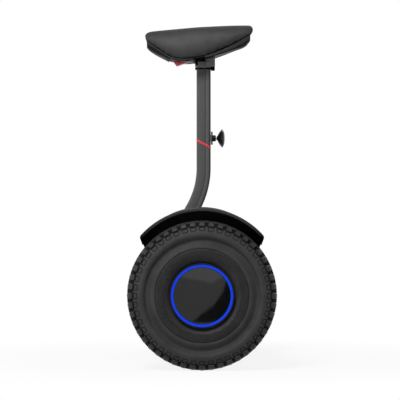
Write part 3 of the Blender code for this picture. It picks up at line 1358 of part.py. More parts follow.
def make_latch(height_axis):
    axis = empty("pad_latch_axis", (LATCH_PIVOT_X, 0, LATCH_PIVOT_Z))
    outline = [(x * MM - LATCH_PIVOT_X, z * MM - LATCH_PIVOT_Z) for x, z in LATCH_LINE]
    lever = prism("pad_latch", outline, "Y", -LATCH_HUB_HALF_WIDTH, LATCH_HUB_HALF_WIDTH, RED, axis)
    hub = turned(
        "latch_hub",
        [(0, LATCH_HUB_HALF_WIDTH), (LATCH_HUB_RADIUS, LATCH_HUB_HALF_WIDTH),
         (LATCH_HUB_RADIUS, -LATCH_HUB_HALF_WIDTH), (0, -LATCH_HUB_HALF_WIDTH)],
        SMALL, None, axis, closed=False, rotation=(math.pi / 2, 0, 0),
    )
    tip_outline = outline[2:7]
    tip = prism("latch_face", tip_outline, "Y", -LATCH_HALF_WIDTH, LATCH_HALF_WIDTH, None, axis)
    join(lever, hub, tip)
    hole = turned(
        "latch_bore",
        [(0, LATCH_PIN_REACH), (LATCH_PIN_RADIUS + CLEARANCE, LATCH_PIN_REACH),
         (LATCH_PIN_RADIUS + CLEARANCE, -LATCH_PIN_REACH), (0, -LATCH_PIN_REACH)],
        SMALL, None, axis, closed=False, rotation=(math.pi / 2, 0, 0),
    )
    cut(lever, hole)
    pin_half = LATCH_PIN_REACH - CLEARANCE
    turned(
        "latch_pin",
        [(0, pin_half), (LATCH_PIN_RADIUS, pin_half), (LATCH_PIN_RADIUS, -pin_half), (0, -pin_half)],
        SMALL, STEEL, height_axis, closed=False,
        location=(LATCH_PIVOT_X, 0, LATCH_PIVOT_Z), rotation=(math.pi / 2, 0, 0),
    )
    start = LATCH_HUB_HALF_WIDTH + CLEARANCE + LATCH_SPRING_WIRE
    pocket_half = LATCH_HALF_WIDTH + LATCH_POCKET_GAP
    pitch = (pocket_half - CLEARANCE - LATCH_SPRING_WIRE - start) / LATCH_SPRING_TURNS
    coil(
        "latch_spring", LATCH_SPRING_RADIUS, LATCH_SPRING_WIRE, LATCH_SPRING_TURNS, pitch, STEEL,
        (LATCH_PIVOT_X, start, LATCH_PIVOT_Z), (-math.pi / 2, 0, 0),
    )


def shade(piece):
    """Smooth round pieces, with their edges kept sharp."""
    if piece.type == "MESH":
        piece.data.shade_smooth()
        piece.data.set_sharp_from_angle(angle=math.radians(35))


def build():
    for side_name, side in SIDES.items():
        make_wheel(side_name, side)
        make_hub(side_name, side)
    make_shells()
    make_chassis()
    make_inside()
    make_foot_mats()
    make_fenders()
    make_spine()
    make_controls()
    make_post_foot()
    height_axis = make_post()
    make_clamp(height_axis)
    make_bracket(height_axis)
    make_pad(height_axis)
    for piece in PARTS.objects:
        shade(piece)


build()
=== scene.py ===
# %% [markdown]
# # A self-balancing scooter, dressed for its picture
# The solids of this scooter come packed from the workshop, in metres, with the floor at Z = 0 and the axle
# along Y. They are right in size and they move, but they are plain. This notebook puts the finished skins over
# them: rubber with a tread, knurled plastic, a padded knee rest, painted metal. Each cell makes one thing.

import json
import math

import bmesh
import bpy
import numpy as np
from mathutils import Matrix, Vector


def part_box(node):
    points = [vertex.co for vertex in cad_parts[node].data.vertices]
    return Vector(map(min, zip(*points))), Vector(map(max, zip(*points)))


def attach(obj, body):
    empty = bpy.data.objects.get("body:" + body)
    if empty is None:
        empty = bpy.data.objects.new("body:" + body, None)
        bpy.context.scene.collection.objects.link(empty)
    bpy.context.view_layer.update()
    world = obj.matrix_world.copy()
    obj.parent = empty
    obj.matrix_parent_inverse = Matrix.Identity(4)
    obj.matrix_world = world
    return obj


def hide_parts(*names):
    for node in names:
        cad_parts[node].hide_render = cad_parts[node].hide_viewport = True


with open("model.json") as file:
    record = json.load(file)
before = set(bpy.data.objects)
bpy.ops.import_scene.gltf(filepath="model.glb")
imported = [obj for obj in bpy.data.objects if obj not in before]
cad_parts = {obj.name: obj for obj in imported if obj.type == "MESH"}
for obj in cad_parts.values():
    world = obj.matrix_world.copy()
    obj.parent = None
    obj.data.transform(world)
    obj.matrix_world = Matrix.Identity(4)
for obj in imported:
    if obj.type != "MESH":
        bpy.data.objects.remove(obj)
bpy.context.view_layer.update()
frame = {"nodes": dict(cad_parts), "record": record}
MM = 0.001
AXLE = 131
AXLE_HEIGHT = AXLE * MM
SIDES = {"left": -1, "right": 1}

# %% [markdown]
# ## The camera
# The picture was taken from the left side, with the lens level and far away, so that the wheel looks like a
# true circle. A long lens at 4.2 metres gives the same frame. It goes first, because every size that was read
# from the picture depends on it.

# %% Camera
CAMERA_PLACE = (-0.0035, -4.235, 0.2976)
CAMERA_LENS = 205.6

camera_data = bpy.data.cameras.new("camera")
camera_data.sensor_width = 36
camera_data.lens = CAMERA_LENS
camera = bpy.data.objects.new("camera", camera_data)
camera.location = CAMERA_PLACE
camera.rotation_euler = (math.pi / 2, 0, 0)
bpy.context.scene.collection.objects.link(camera)
bpy.context.scene.camera = camera
bpy.context.scene.view_settings.view_transform = "Standard"
print("camera at", CAMERA_PLACE, "lens", CAMERA_LENS)

# %% [markdown]
# ## A helper for node trees
# Materials and Geometry Nodes are both trees of nodes. Adding a node and filling its inputs takes many lines,
# so one small function does both: it sets an input to a value, or links it when the value is a socket.


# %% Nodes in one line
def node(tree, kind, inputs=None, **settings):
    made = tree.nodes.new(kind)
    for key, value in settings.items():
        setattr(made, key, value)
    for key, value in (inputs or {}).items():
        if isinstance(value, bpy.types.NodeSocket):
            tree.links.new(value, made.inputs[key])
        else:
            made.inputs[key].default_value = value
    return made


def sum_of(tree, operation, *values):
    """The result of one Math node."""
    return node(tree, "ShaderNodeMath", dict(enumerate(values)), operation=operation).outputs[0]


# %% [markdown]
# ## Studio
# A white sweep in a studio is white because of its paint, not because more light falls on it. So the world and
# the floor turn white only for what looks at them, the camera and mirror-like surfaces, while the light on the
# scooter stays at a plain level. The floor keeps a part of its real shading, and with it the contact shadow.


# %% World
def white_to_lookers(tree):
    """1 for rays of the camera, of reflections and of glass, and 0 for the rays that carry light."""
    path = node(tree, "ShaderNodeLightPath")
    seen = sum_of(tree, "MAXIMUM", path.outputs["Is Camera Ray"], path.outputs["Is Glossy Ray"])
    return sum_of(tree, "MAXIMUM", seen, path.outputs["Is Transmission Ray"])


ROOM_LIGHT = 0.12
WHITE = (1, 1, 1, 1)

world = bpy.data.worlds.new("studio")
bpy.context.scene.world = world
world.use_nodes = True
world.node_tree.nodes.clear()
sky = world.node_tree
room = node(sky, "ShaderNodeBackground", {"Color": WHITE, "Strength": ROOM_LIGHT})
sweep = node(sky, "ShaderNodeBackground", {"Color": WHITE, "Strength": 1.0})
chosen = node(sky, "ShaderNodeMixShader", {0: white_to_lookers(sky), 1: room.outputs[0], 2: sweep.outputs[0]})
node(sky, "ShaderNodeOutputWorld", {"Surface": chosen.outputs[0]})
print("room light", ROOM_LIGHT)


# %% Floor
FLOOR_HALF = 20
FLOOR_PAINT = (0.7, 0.7, 0.7, 1)
SHADOW_NEAR, SHADOW_FAR = 0.25, 0.75
WHITE_NEAR = 0.88


def make_floor():
    mesh = bpy.data.meshes.new("floor")
    corners = [(x * FLOOR_HALF, y * FLOOR_HALF, 0) for x, y in ((-1, -1), (1, -1), (1, 1), (-1, 1))]
    mesh.from_pydata(corners, [], [(0, 1, 2, 3)])
    material = bpy.data.materials.new("floor_paint")
    material.use_nodes = True
    tree = material.node_tree
    tree.nodes.clear()
    paint = node(tree, "ShaderNodeBsdfDiffuse", {"Color": FLOOR_PAINT})
    white = node(tree, "ShaderNodeEmission", {"Color": WHITE, "Strength": 1.0})
    place = node(tree, "ShaderNodeTexCoord").outputs["Object"]
    away = node(tree, "ShaderNodeVectorMath", {0: place}, operation="LENGTH").outputs["Value"]
    whiter = node(
        tree, "ShaderNodeMapRange",
        {"Value": away, "From Min": SHADOW_NEAR, "From Max": SHADOW_FAR, "To Min": WHITE_NEAR, "To Max": 1.0},
        interpolation_type="SMOOTHSTEP",
    ).outputs[0]
    share = sum_of(tree, "MULTIPLY", white_to_lookers(tree), whiter)
    mixed = node(tree, "ShaderNodeMixShader", {0: share, 1: paint.outputs[0], 2: white.outputs[0]})
    node(tree, "ShaderNodeOutputMaterial", {"Surface": mixed.outputs[0]})
    mesh.materials.append(material)
    floor = bpy.data.objects.new("floor", mesh)
    bpy.context.scene.collection.objects.link(floor)


make_floor()
print("floor is white from", SHADOW_FAR, "m away")


# %% Softboxes
def softbox(name, place, aim, size, power):
    """A square lamp, aimed at a point of the scooter."""
    lamp = bpy.data.lights.new(name, "AREA")
    lamp.size = size
    lamp.energy = power
    holder = bpy.data.objects.new(name, lamp)
    holder.location = place
    holder.rotation_euler = (Vector(aim) - Vector(place)).to_track_quat("-Z", "Y").to_euler()
    bpy.context.scene.collection.objects.link(holder)


SOFTBOXES = {  # place, aim, size in metres, watts
    "key": ((-0.85, -2.25, 2.55), (0, -0.2, 0.3), 0.9, 100),
    "fill": ((1.9, -2.6, 0.8), (0, -0.2, 0.3), 1.4, 3),
    "overhead": ((0.1, -0.5, 2.6), (0, -0.1, 0.4), 1.2, 9),
    "side": ((-2.5, -0.75, 0.9), (0, -0.1, 0.3), 0.8, 15),
    "back": ((1.0, 2.4, 2.0), (0, 0.2, 0.3), 1.4, 26),
}
for lamp_name, settings in SOFTBOXES.items():
    softbox(lamp_name, *settings)
print(len(SOFTBOXES), "softboxes")

# %% [markdown]
# ## Cards for the polished caps
# A polished black cap shows what stands round the camera. Photographers put a grey and a black card there, so
# that the cap gets a soft gradient and a dark edge and reads as glossy. These cards are seen by reflections only.
# They stand low in front of each wheel, and neither light nor shade comes from them.


# %% Reflection cards
CARD_DISTANCE = 0.62


def reflection_card(name, side, corners, grey):
    """A flat card in front of a wheel, from corners (along X, above the axle) in metres."""
    places = [(x, side * CARD_DISTANCE, AXLE_HEIGHT + z) for x, z in corners]
    mesh = bpy.data.meshes.new(name)
    mesh.from_pydata(places, [], [tuple(range(len(places)))])
    material = bpy.data.materials.new(name)
    material.use_nodes = True
    material.node_tree.nodes.clear()
    paper = node(material.node_tree, "ShaderNodeEmission", {"Color": (grey, grey, grey, 1), "Strength": 1.0})
    node(material.node_tree, "ShaderNodeOutputMaterial", {"Surface": paper.outputs[0]})
    mesh.materials.append(material)
    card = bpy.data.objects.new(name, mesh)
    card.visible_camera = False
    card.visible_diffuse = False
    card.visible_shadow = False
    card.visible_transmission = False
    bpy.context.scene.collection.objects.link(card)


GREY_CARD = [
    (-0.34, -0.128), (-0.044, -0.128), (-0.042, -0.122), (0, -0.083), (0.047, -0.047), (0.081, 0), (0.111, 0.078),
    (0.035, 0.035), (0, 0.046), (-0.055, 0.055), (-0.1, 0.07), (-0.34, 0.13),
]
BLACK_CARD = [
    (-0.041, -0.128), (0.36, -0.128), (0.36, 0.25), (0.19, 0.25), (0.112, 0.078), (0.082, 0), (0.048, -0.047),
    (0.001, -0.083), (-0.041, -0.122),
]
CARD_GREY, CARD_BLACK = 0.58, 0.01
for side_name, side in SIDES.items():
    reflection_card(side_name + "_grey_card", side, GREY_CARD, CARD_GREY)
    reflection_card(side_name + "_black_card", side, BLACK_CARD, CARD_BLACK)
print("two cards on each side")

# %% [markdown]
# ## Finishes
# Nearly everything here is black, so the pieces are told apart by their finish: matt rubber, grained plastic,
# polished plastic, satin paint. A moulded finish is made of three noises in Object coordinates: a broad one
# that varies the colour a little, one that varies the gloss, and a fine one for the grain, which only tilts the
# surface. Sizes of the grain are in millimetres, as a mould maker would give them.


# %% Moulded and cast finishes
def blank(name, roughness, metallic=0.0, **sockets):
    material = bpy.data.materials.new(name)
    material.use_nodes = True
    shader = material.node_tree.nodes["Principled BSDF"]
    shader.inputs["Roughness"].default_value = roughness
    shader.inputs["Metallic"].default_value = metallic
    for label, value in sockets.items():
        shader.inputs[label.replace("_", " ")].default_value = value
    return material, material.node_tree, shader


def noise(tree, size_mm, detail=3.0, stretch=(1, 1, 1), place=None):
    """A noise whose clouds are about that many millimetres across."""
    if place is None:
        place = node(tree, "ShaderNodeTexCoord").outputs["Object"]
    mapped = node(tree, "ShaderNodeMapping", {"Vector": place, "Scale": stretch})
    return node(
        tree, "ShaderNodeTexNoise",
        {"Vector": mapped.outputs[0], "Scale": 1000 / size_mm, "Detail": detail, "Roughness": 0.55},
    ).outputs["Fac"]


def spread(tree, value, low, high, start=0.3, end=0.7):
    """A noise moved to the range from low to high."""
    return node(
        tree, "ShaderNodeMapRange",
        {"Value": value, "From Min": start, "From Max": end, "To Min": low, "To Max": high},
    ).outputs[0]


def tone(tree, value, first, second):
    """A colour between two, by a value from 0 to 1. Each is a colour or a socket that gives one."""
    ends = [end if isinstance(end, bpy.types.NodeSocket) else (*end, 1) for end in (first, second)]
    mixed = node(tree, "ShaderNodeMix", {"Factor": value, "A": ends[0], "B": ends[1]}, data_type="RGBA")
    return mixed.outputs["Result"]


def grain(tree, shader, height, depth_mm, strength=1.0):
    bump = node(tree, "ShaderNodeBump", {"Height": height, "Strength": strength, "Distance": depth_mm * MM})
    tree.links.new(bump.outputs[0], shader.inputs["Normal"])
    return bump


GLOSS_CLOUD = 0.4  # the clouds of the gloss are this much smaller than those of the colour


def moulded(name, dark, light, roughness, grain_mm, depth_mm, metallic=0.0, cloud_mm=28, gloss_spread=0.06,
            **sockets):
    """A finish with clouds of colour and of gloss, and a fine grain. Further names set the shader's sockets."""
    material, tree, shader = blank(name, roughness, metallic, **sockets)
    clouds = spread(tree, noise(tree, cloud_mm), 0, 1)
    tree.links.new(tone(tree, clouds, dark, light), shader.inputs["Base Color"])
    gloss_clouds = noise(tree, cloud_mm * GLOSS_CLOUD, 2)
    gloss = spread(tree, gloss_clouds, roughness - gloss_spread, roughness + gloss_spread)
    tree.links.new(gloss, shader.inputs["Roughness"])
    grain(tree, shader, noise(tree, grain_mm, 4), depth_mm)
    return material


# %% [markdown]
# ## One finish for each surface
# The blacks differ by a few hundredths in colour and by their gloss. The tread is a darker rubber than the
# sidewall, the knob is smooth and nearly black, and the paints of post and bracket are the palest.

# %% The moulded, painted and cast finishes
# each: darkest and lightest colour, roughness, size and depth of the grain in millimetres
RUBBER = moulded("tyre_rubber", (0.031, 0.031, 0.032), (0.042, 0.042, 0.043), 0.62, 0.7, 0.05,
                 Specular_IOR_Level=0.07)
TREAD = moulded("tread_rubber", (0.01, 0.01, 0.0105), (0.016, 0.016, 0.0165), 0.5, 0.7, 0.05,
                Specular_IOR_Level=0.22)
COVER = moulded("cover_plastic", (0.03, 0.03, 0.031), (0.038, 0.038, 0.039), 0.5, 0.5, 0.02,
                Specular_IOR_Level=0.06)
SHELL = moulded("shell_plastic", (0.026, 0.026, 0.027), (0.034, 0.034, 0.035), 0.42, 0.45, 0.025,
                Specular_IOR_Level=0.11)
MAT = moulded("mat_rubber", (0.026, 0.026, 0.027), (0.04, 0.04, 0.041), 0.72, 0.9, 0.06, Specular_IOR_Level=0.16)
GLOSS = moulded("gloss_plastic", (0.003, 0.003, 0.0032), (0.0045, 0.0045, 0.0048), 0.08, 14, 0.006,
                gloss_spread=0.015, Specular_IOR_Level=0.6)
PAINT = moulded("post_paint", (0.08, 0.08, 0.082), (0.09, 0.09, 0.092), 0.44, 0.35, 0.012, cloud_mm=60,
                Specular_IOR_Level=0.2)
CASTING = moulded("cast_aluminium", (0.09, 0.09, 0.093), (0.13, 0.13, 0.135), 0.46, 0.8, 0.05, metallic=0.9)
BRACKET = moulded("bracket_paint", (0.12, 0.12, 0.122), (0.14, 0.14, 0.142), 0.46, 0.5, 0.02,
                  Specular_IOR_Level=0.3)
# a near-black, dull finish for the strips of painted shadow at the bracket
SHADOW_BLACK = moulded("seal_rubber", (0.001, 0.001, 0.001), (0.002, 0.002, 0.002), 0.8, 0.9, 0.04,
               Specular_IOR_Level=0.02)
KNOB = moulded("knob_plastic", (0.004, 0.004, 0.0042), (0.006, 0.006, 0.0062), 0.24, 0.6, 0.01,
               Specular_IOR_Level=0.2)
ANODISED = moulded("motor_casting", (0.02, 0.02, 0.021), (0.03, 0.03, 0.031), 0.4, 0.6, 0.03, metallic=0.5)
RED = moulded("signal_red", (0.52, 0.025, 0.045), (0.62, 0.035, 0.055), 0.34, 0.6, 0.015, cloud_mm=12)
BRONZE = moulded("bronze", (0.42, 0.24, 0.08), (0.56, 0.34, 0.13), 0.36, 0.5, 0.02, metallic=1.0, cloud_mm=6)
SHOE = moulded("shoe_plastic", (0.015, 0.12, 0.05), (0.02, 0.17, 0.075), 0.45, 0.5, 0.02, cloud_mm=6)
print(len(bpy.data.materials), "materials so far")

# %% [markdown]
# ## Painted shade
# Engraved lines, the ground between tread lugs and other places that the light hardly reaches get painted shade.
# A piece may carry a painted shade value on each of its points, 1 where the shade is full and 0 on the plain
# surface, and a finish that reads it turns nearly black and dull there. Such a finish is a copy of the plain one.
# Pieces without painted shade keep the plain one, whose numbers stand on the shader itself.


# %% Finishes that read the painted shade value
# painted shade: its colour, and the share of the gloss that is left where it is full
PAINTED_SHADE_COLOUR = (0.003, 0.003, 0.003)
PAINTED_SHADE_SHINE = 0.06


def with_painted_shade(plain_finish):
    """A copy of a finish that turns nearly black and dull where its piece carries painted shade."""
    finish = plain_finish.copy()
    finish.name = plain_finish.name + "_with_hollows"
    tree = finish.node_tree
    shader = tree.nodes["Principled BSDF"]
    plain = shader.inputs["Base Color"].links[0].from_socket
    hollow = node(tree, "ShaderNodeAttribute", attribute_name="hollow").outputs["Fac"]
    mixed = tone(tree, hollow, plain, PAINTED_SHADE_COLOUR)
    tree.links.new(mixed, shader.inputs["Base Color"])
    shine = shader.inputs["Specular IOR Level"].default_value
    dulled = spread(tree, hollow, shine, shine * PAINTED_SHADE_SHINE, 0, 1)
    tree.links.new(dulled, shader.inputs["Specular IOR Level"])
    return finish


def mark_painted_shade(piece, value_at):
    """Store the painted shade value on each point of a piece, from a function of its place in millimetres."""
    marks = piece.data.attributes.new("hollow", "FLOAT", "POINT")
    marks.data.foreach_set("value", [value_at(*(c / MM for c in vertex.co)) for vertex in piece.data.vertices])


RUBBER_SHADED = with_painted_shade(RUBBER)
COVER_SHADED = with_painted_shade(COVER)
SHELL_SHADED = with_painted_shade(SHELL)
PAINT_SHADED = with_painted_shade(PAINT)
print("hollows are shaded in rubber, in both plastics and in the paint")

# %% [markdown]
# ## Finishes with a direction or a pattern
# Turned steel has fine rings round its axis: a noise stretched flat along one direction shows them. Copper
# windings are bundles of wire, which a wave texture draws. A circuit board gets its tracks from a brick pattern,
# and the battery's shrink wrap gets soft wrinkles.


# %% Steel, copper, board, battery wrap and lamps
def turned_steel():
    material, tree, shader = blank("turned_steel", 0.3, 1.0, Anisotropic=0.3)
    rings = noise(tree, 1.2, 2, (0.05, 0.05, 1))
    colour = tone(tree, spread(tree, rings, 0, 1), (0.42, 0.42, 0.43), (0.6, 0.6, 0.61))
    tree.links.new(colour, shader.inputs["Base Color"])
    tree.links.new(spread(tree, rings, 0.24, 0.38), shader.inputs["Roughness"])
    grain(tree, shader, rings, 0.01)
    return material


def banded(name, dark, light, roughness, metallic, bands_per_m, depth_mm, direction="X"):
    """Parallel bands, as wires side by side or wrinkles give them."""
    material, tree, shader = blank(name, roughness, metallic)
    place = node(tree, "ShaderNodeTexCoord").outputs["Object"]
    bands = node(
        tree, "ShaderNodeTexWave", {"Vector": place, "Scale": bands_per_m, "Distortion": 1.5, "Detail": 2.0},
        bands_direction=direction,
    ).outputs["Fac"]
    tree.links.new(tone(tree, bands, dark, light), shader.inputs["Base Color"])
    grain(tree, shader, bands, depth_mm)
    return material


def circuit_board():
    material, tree, shader = blank("board_green", 0.38, 0.0, Coat_Weight=0.4)
    place = node(tree, "ShaderNodeTexCoord").outputs["Object"]
    tracks = node(
        tree, "ShaderNodeTexBrick",
        {"Vector": place, "Scale": 60.0, "Mortar Size": 0.03, "Color1": (0.01, 0.09, 0.035, 1),
         "Color2": (0.012, 0.12, 0.045, 1), "Mortar": (0.03, 0.2, 0.09, 1)},
    )
    tree.links.new(tracks.outputs["Color"], shader.inputs["Base Color"])
    grain(tree, shader, tracks.outputs["Fac"], 0.03)
    return material


STEEL = turned_steel()
COPPER = banded("winding", (0.3, 0.1, 0.035), (0.75, 0.36, 0.16), 0.35, 0.9, 380, 0.25, "Y")
WRAP = banded("cell_wrap", (0.03, 0.07, 0.15), (0.045, 0.1, 0.2), 0.3, 0.0, 22, 0.3)
BOARD = circuit_board()


def lit(name, color, strength, roughness=0.6):
    """A lamp's diffuser that glows with nearly its own colour."""
    material, tree, shader = blank(name, roughness, Specular_IOR_Level=0.06)
    speckle = spread(tree, noise(tree, 3.0, 2), 0.94, 1.0)
    glow = tone(tree, speckle, tuple(0.9 * c for c in color), color)
    shader.inputs["Base Color"].default_value = (0.002, 0.004, 0.02, 1)
    tree.links.new(glow, shader.inputs["Emission Color"])
    shader.inputs["Emission Strength"].default_value = strength
    grain(tree, shader, noise(tree, 0.8, 2), 0.02)
    return material


BLUE = lit("blue_light", (0.004, 0.046, 0.76), 1.0)
LENS = moulded("clear_lens", (0.62, 0.65, 0.7), (0.72, 0.75, 0.8), 0.12, 2.5, 0.08,
               Transmission_Weight=0.55, Coat_Weight=0.5)
RED_LENS = moulded("red_lens", (0.4, 0.01, 0.015), (0.52, 0.015, 0.02), 0.15, 2.5, 0.08, Coat_Weight=0.6)
print("lamps and metals are ready")

# %% [markdown]
# ## Skin of the cushion
# The cushion's skin is soft black plastic leather. Its grain is a field of small cells with soft valleys between
# them, which a Voronoi texture gives. The skin is dull: it has hardly any gloss and only a trace of sheen.


# %% Leather
LEATHER_CELL = 1.3


def leather(name):
    material, tree, shader = blank(name, 0.5, Sheen_Weight=0.01, Sheen_Roughness=0.5, Specular_IOR_Level=0.05)
    place = node(tree, "ShaderNodeTexCoord").outputs["Object"]
    cells = node(
        tree, "ShaderNodeTexVoronoi", {"Vector": place, "Scale": 1000 / LEATHER_CELL, "Smoothness": 0.5},
        feature="SMOOTH_F1",
    )
    soft = noise(tree, 0.5, 3, place=place)
    height = sum_of(tree, "ADD", cells.outputs["Distance"], sum_of(tree, "MULTIPLY", soft, 0.35))
    clouds = spread(tree, noise(tree, 22, place=place), 0, 1)
    tree.links.new(tone(tree, clouds, (0.052, 0.052, 0.053), (0.064, 0.064, 0.065)), shader.inputs["Base Color"])
    tree.links.new(spread(tree, cells.outputs["Distance"], 0.52, 0.62, 0, 0.7), shader.inputs["Roughness"])
    grain(tree, shader, height, 0.03)
    return material


LEATHER = leather("cushion_skin")
LEATHER_SHADED = with_painted_shade(LEATHER)
print("leather is ready")

# %% [markdown]
# ## The carried-over solids
# Some solids already have their final shape, such as the chassis, the bearings and the battery. They stay, and
# only get their finish. The record names a slot for each node, so a short table from slot to material is enough.

# %% Materials for the solids
SLOT_FINISH = {
    "tyre_rubber": RUBBER, "cast_aluminium": CASTING, "motor_casting": ANODISED, "steel": STEEL,
    "winding": COPPER, "bronze": BRONZE, "post_paint": PAINT, "shell_black": SHELL, "cover_black": COVER,
    "mat_black": MAT, "gloss_black": GLOSS, "signal_red": RED, "blue_light": BLUE, "clear_lens": LENS,
    "board_green": BOARD, "cell_wrap": WRAP, "shoe_plastic": SHOE, "cushion_skin": LEATHER,
}
NODE_SLOT = {entry["node"]: entry["material_slot"] for entry in frame["record"]["subparts"]}

for name, solid in frame["nodes"].items():
    finish = RED_LENS if name == "tail_light" else SLOT_FINISH[NODE_SLOT[name]]
    for slot in solid.material_slots:
        slot.material = finish
print(len(frame["nodes"]), "solids have their finish")

# %% [markdown]
# ## Meshes from rows of points
# Most shells of this scooter are skins: a section, repeated along a path. One helper draws a smooth line through
# a few points, another joins rows of points into faces, and a third puts several skins into one mesh.


# %% Skins
def fair(points, per_span):
    """A smooth line through its points, with that many steps from one point to the next."""
    line = []
    last = len(points) - 1
    for index in range(last):
        before, start = points[max(index - 1, 0)], points[index]
        end, after = points[index + 1], points[min(index + 2, last)]
        for step in range(per_span):
            t = step / per_span
            line.append(tuple(
                0.5 * (2 * b + (c - a) * t + (2 * a - 5 * b + 4 * c - d) * t * t + (3 * b - a - 3 * c + d) * t ** 3)
                for a, b, c, d in zip(before, start, end, after)
            ))
    line.append(tuple(points[-1]))
    return line


def skin(rows, ring=False, caps=False):
    """Points and faces of a sheet through closed rows. A ring joins the last row to the first."""
    size = len(rows[0])
    points = [point for row in rows for point in row]
    faces = []
    for first in range(len(rows) if ring else len(rows) - 1):
        second = (first + 1) % len(rows)
        for index in range(size):
            after = (index + 1) % size
            faces.append((first * size + index, first * size + after, second * size + after, second * size + index))
    if caps:
        faces.append(tuple(range(size)))
        faces.append(tuple((len(rows) - 1) * size + index for index in range(size)))
    return points, faces


def joined(skins):
    """Several skins as one list of points and one list of faces."""
    points, faces = [], []
    for more_points, more_faces in skins:
        faces += [tuple(corner + len(points) for corner in face) for face in more_faces]
        points += more_points
    return points, faces


# %% [markdown]
# ## From points to objects
# A mesh that is joined from rows has double points, and faces that may point inwards. Each new object is cleaned
# in the same way: doubles merged, then normals turned outwards, then smooth shading with hard edges where faces
# meet steeply. A lathe shape is a skin whose rows are turned round the axle.

# %% Objects from points and faces
MERGE_DISTANCE, SHORTEST_EDGE = 0.000002, 0.000001


def shown(name, mesh):
    """An object of a mesh, in the scene."""
    piece = bpy.data.objects.new(name, mesh)
    bpy.context.scene.collection.objects.link(piece)
    return piece


def smooth(mesh, sharp):
    """Smooth shading, with hard edges where faces meet at more than that many degrees."""
    mesh.shade_smooth()
    mesh.set_sharp_from_angle(angle=math.radians(sharp))


def shaped(name, points, faces, material, sharp=32):
    """An object from points and faces: doubles merged, normals outwards, hard edges kept."""
    rough = bpy.data.meshes.new(name)
    rough.from_pydata(points, [], faces)
    bm = bmesh.new()
    bm.from_mesh(rough)
    bpy.data.meshes.remove(rough)
    bmesh.ops.remove_doubles(bm, verts=bm.verts, dist=MERGE_DISTANCE)
    bmesh.ops.dissolve_degenerate(bm, edges=bm.edges, dist=SHORTEST_EDGE)
    bmesh.ops.recalc_face_normals(bm, faces=bm.faces)
    mesh = bpy.data.meshes.new(name)
    bm.to_mesh(mesh)
    bm.free()
    mesh.materials.append(material)
    smooth(mesh, sharp)
    return shown(name, mesh)


WHEEL_PLANE = 235 * MM


def turned_on_axle(name, side, profile, steps, material, sharp=32):
    """A lathe shape from (radius, distance outboard of the tyre's middle), both in millimetres."""
    rows = []
    for step in range(steps):
        angle = math.tau * step / steps
        rows.append([
            (r * MM * math.sin(angle), side * (WHEEL_PLANE + a * MM), AXLE_HEIGHT + r * MM * math.cos(angle))
            for r, a in profile
        ])
    return shaped(name, *skin(rows, ring=True), material, sharp)


# %% [markdown]
# ## Rounding what already has its shape
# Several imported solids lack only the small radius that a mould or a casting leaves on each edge. A copy of such a
# solid gets a Bevel modifier, and then stands for the solid. Its triangles are joined back to flat faces first,
# because a bevel needs real edges.

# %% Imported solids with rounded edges
SOLID_MERGE = 0.00001
FLAT_ANGLE, BEVEL_ANGLE, BEVEL_SHARP = 0.8, 32, 40


def applied(piece):
    """What the modifiers make of a piece, as a plain mesh. The modifiers are gone afterwards."""
    graph = bpy.context.evaluated_depsgraph_get()
    mesh = bpy.data.meshes.new_from_object(piece.evaluated_get(graph))
    piece.modifiers.clear()
    return mesh


def solid_of(node_name):
    """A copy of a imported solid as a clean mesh, with its flat faces whole again."""
    mesh = frame["nodes"][node_name].data.copy()
    bm = bmesh.new()
    bm.from_mesh(mesh)
    bmesh.ops.remove_doubles(bm, verts=bm.verts, dist=SOLID_MERGE)
    bmesh.ops.dissolve_limit(bm, angle_limit=math.radians(FLAT_ANGLE), verts=bm.verts, edges=bm.edges)
    bm.to_mesh(mesh)
    bm.free()
    return mesh


def bevelled(node_name, width_mm, material, body):
    """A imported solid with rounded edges, as a moulded or cast piece has them. It stands for its node."""
    piece = shown(node_name + "_finished", solid_of(node_name))
    piece.data.materials.clear()
    piece.data.materials.append(material)
    bevel = piece.modifiers.new("rounded_edges", "BEVEL")
    bevel.width = width_mm * MM
    bevel.segments = 3
    bevel.limit_method = "ANGLE"
    bevel.angle_limit = math.radians(BEVEL_ANGLE)
    piece.data = applied(piece)
    smooth(piece.data, BEVEL_SHARP)
    dress(piece, body, NODE_SLOT[node_name], node_name)


def dress(piece, body, slot_name, *nodes):
    """Say which body a piece rides on and which solids it stands for. The slot name is not used."""
    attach(piece, body)
    if nodes:
        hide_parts(*nodes)
    print(piece.name, len(piece.data.polygons), "faces on", body)


# %% [markdown]
# ## Geometry Nodes for what repeats
# Lugs, knurls, ribs and screws repeat by a rule, so they are made by trees rather than by hand. Three trees do
# most of it: one repeats a block round the axle, one repeats it in a straight row, and one sets a copy at each
# point of a list. The knurl gets a fourth tree of its own, further down. Each tree ends in Realize Instances and
# Set Material, and its result is kept as a plain mesh.


# %% Trees that repeat a block
def new_tree(name, inputs):
    """An empty tree with a Geometry input and output, and further inputs as (label, kind)."""
    tree = bpy.data.node_groups.new(name, "GeometryNodeTree")
    tree.interface.new_socket("Geometry", in_out="INPUT", socket_type="NodeSocketGeometry")
    for label, kind in inputs:
        tree.interface.new_socket(label, in_out="INPUT", socket_type="NodeSocket" + kind)
    tree.interface.new_socket("Geometry", in_out="OUTPUT", socket_type="NodeSocketGeometry")
    return tree, tree.nodes.new("NodeGroupInput")


def end_tree(tree, source, instances, moved_by=None):
    """Realize the copies, move them, give them their finish, and put them out."""
    made = node(tree, "GeometryNodeRealizeInstances", {"Geometry": instances}).outputs[0]
    if moved_by is not None:
        made = node(tree, "GeometryNodeTransform", {"Geometry": made, "Translation": moved_by}).outputs[0]
    painted = node(tree, "GeometryNodeSetMaterial", {"Geometry": made, "Material": source.outputs["Finish"]})
    node(tree, "NodeGroupOutput", {0: painted.outputs[0]})
    return tree


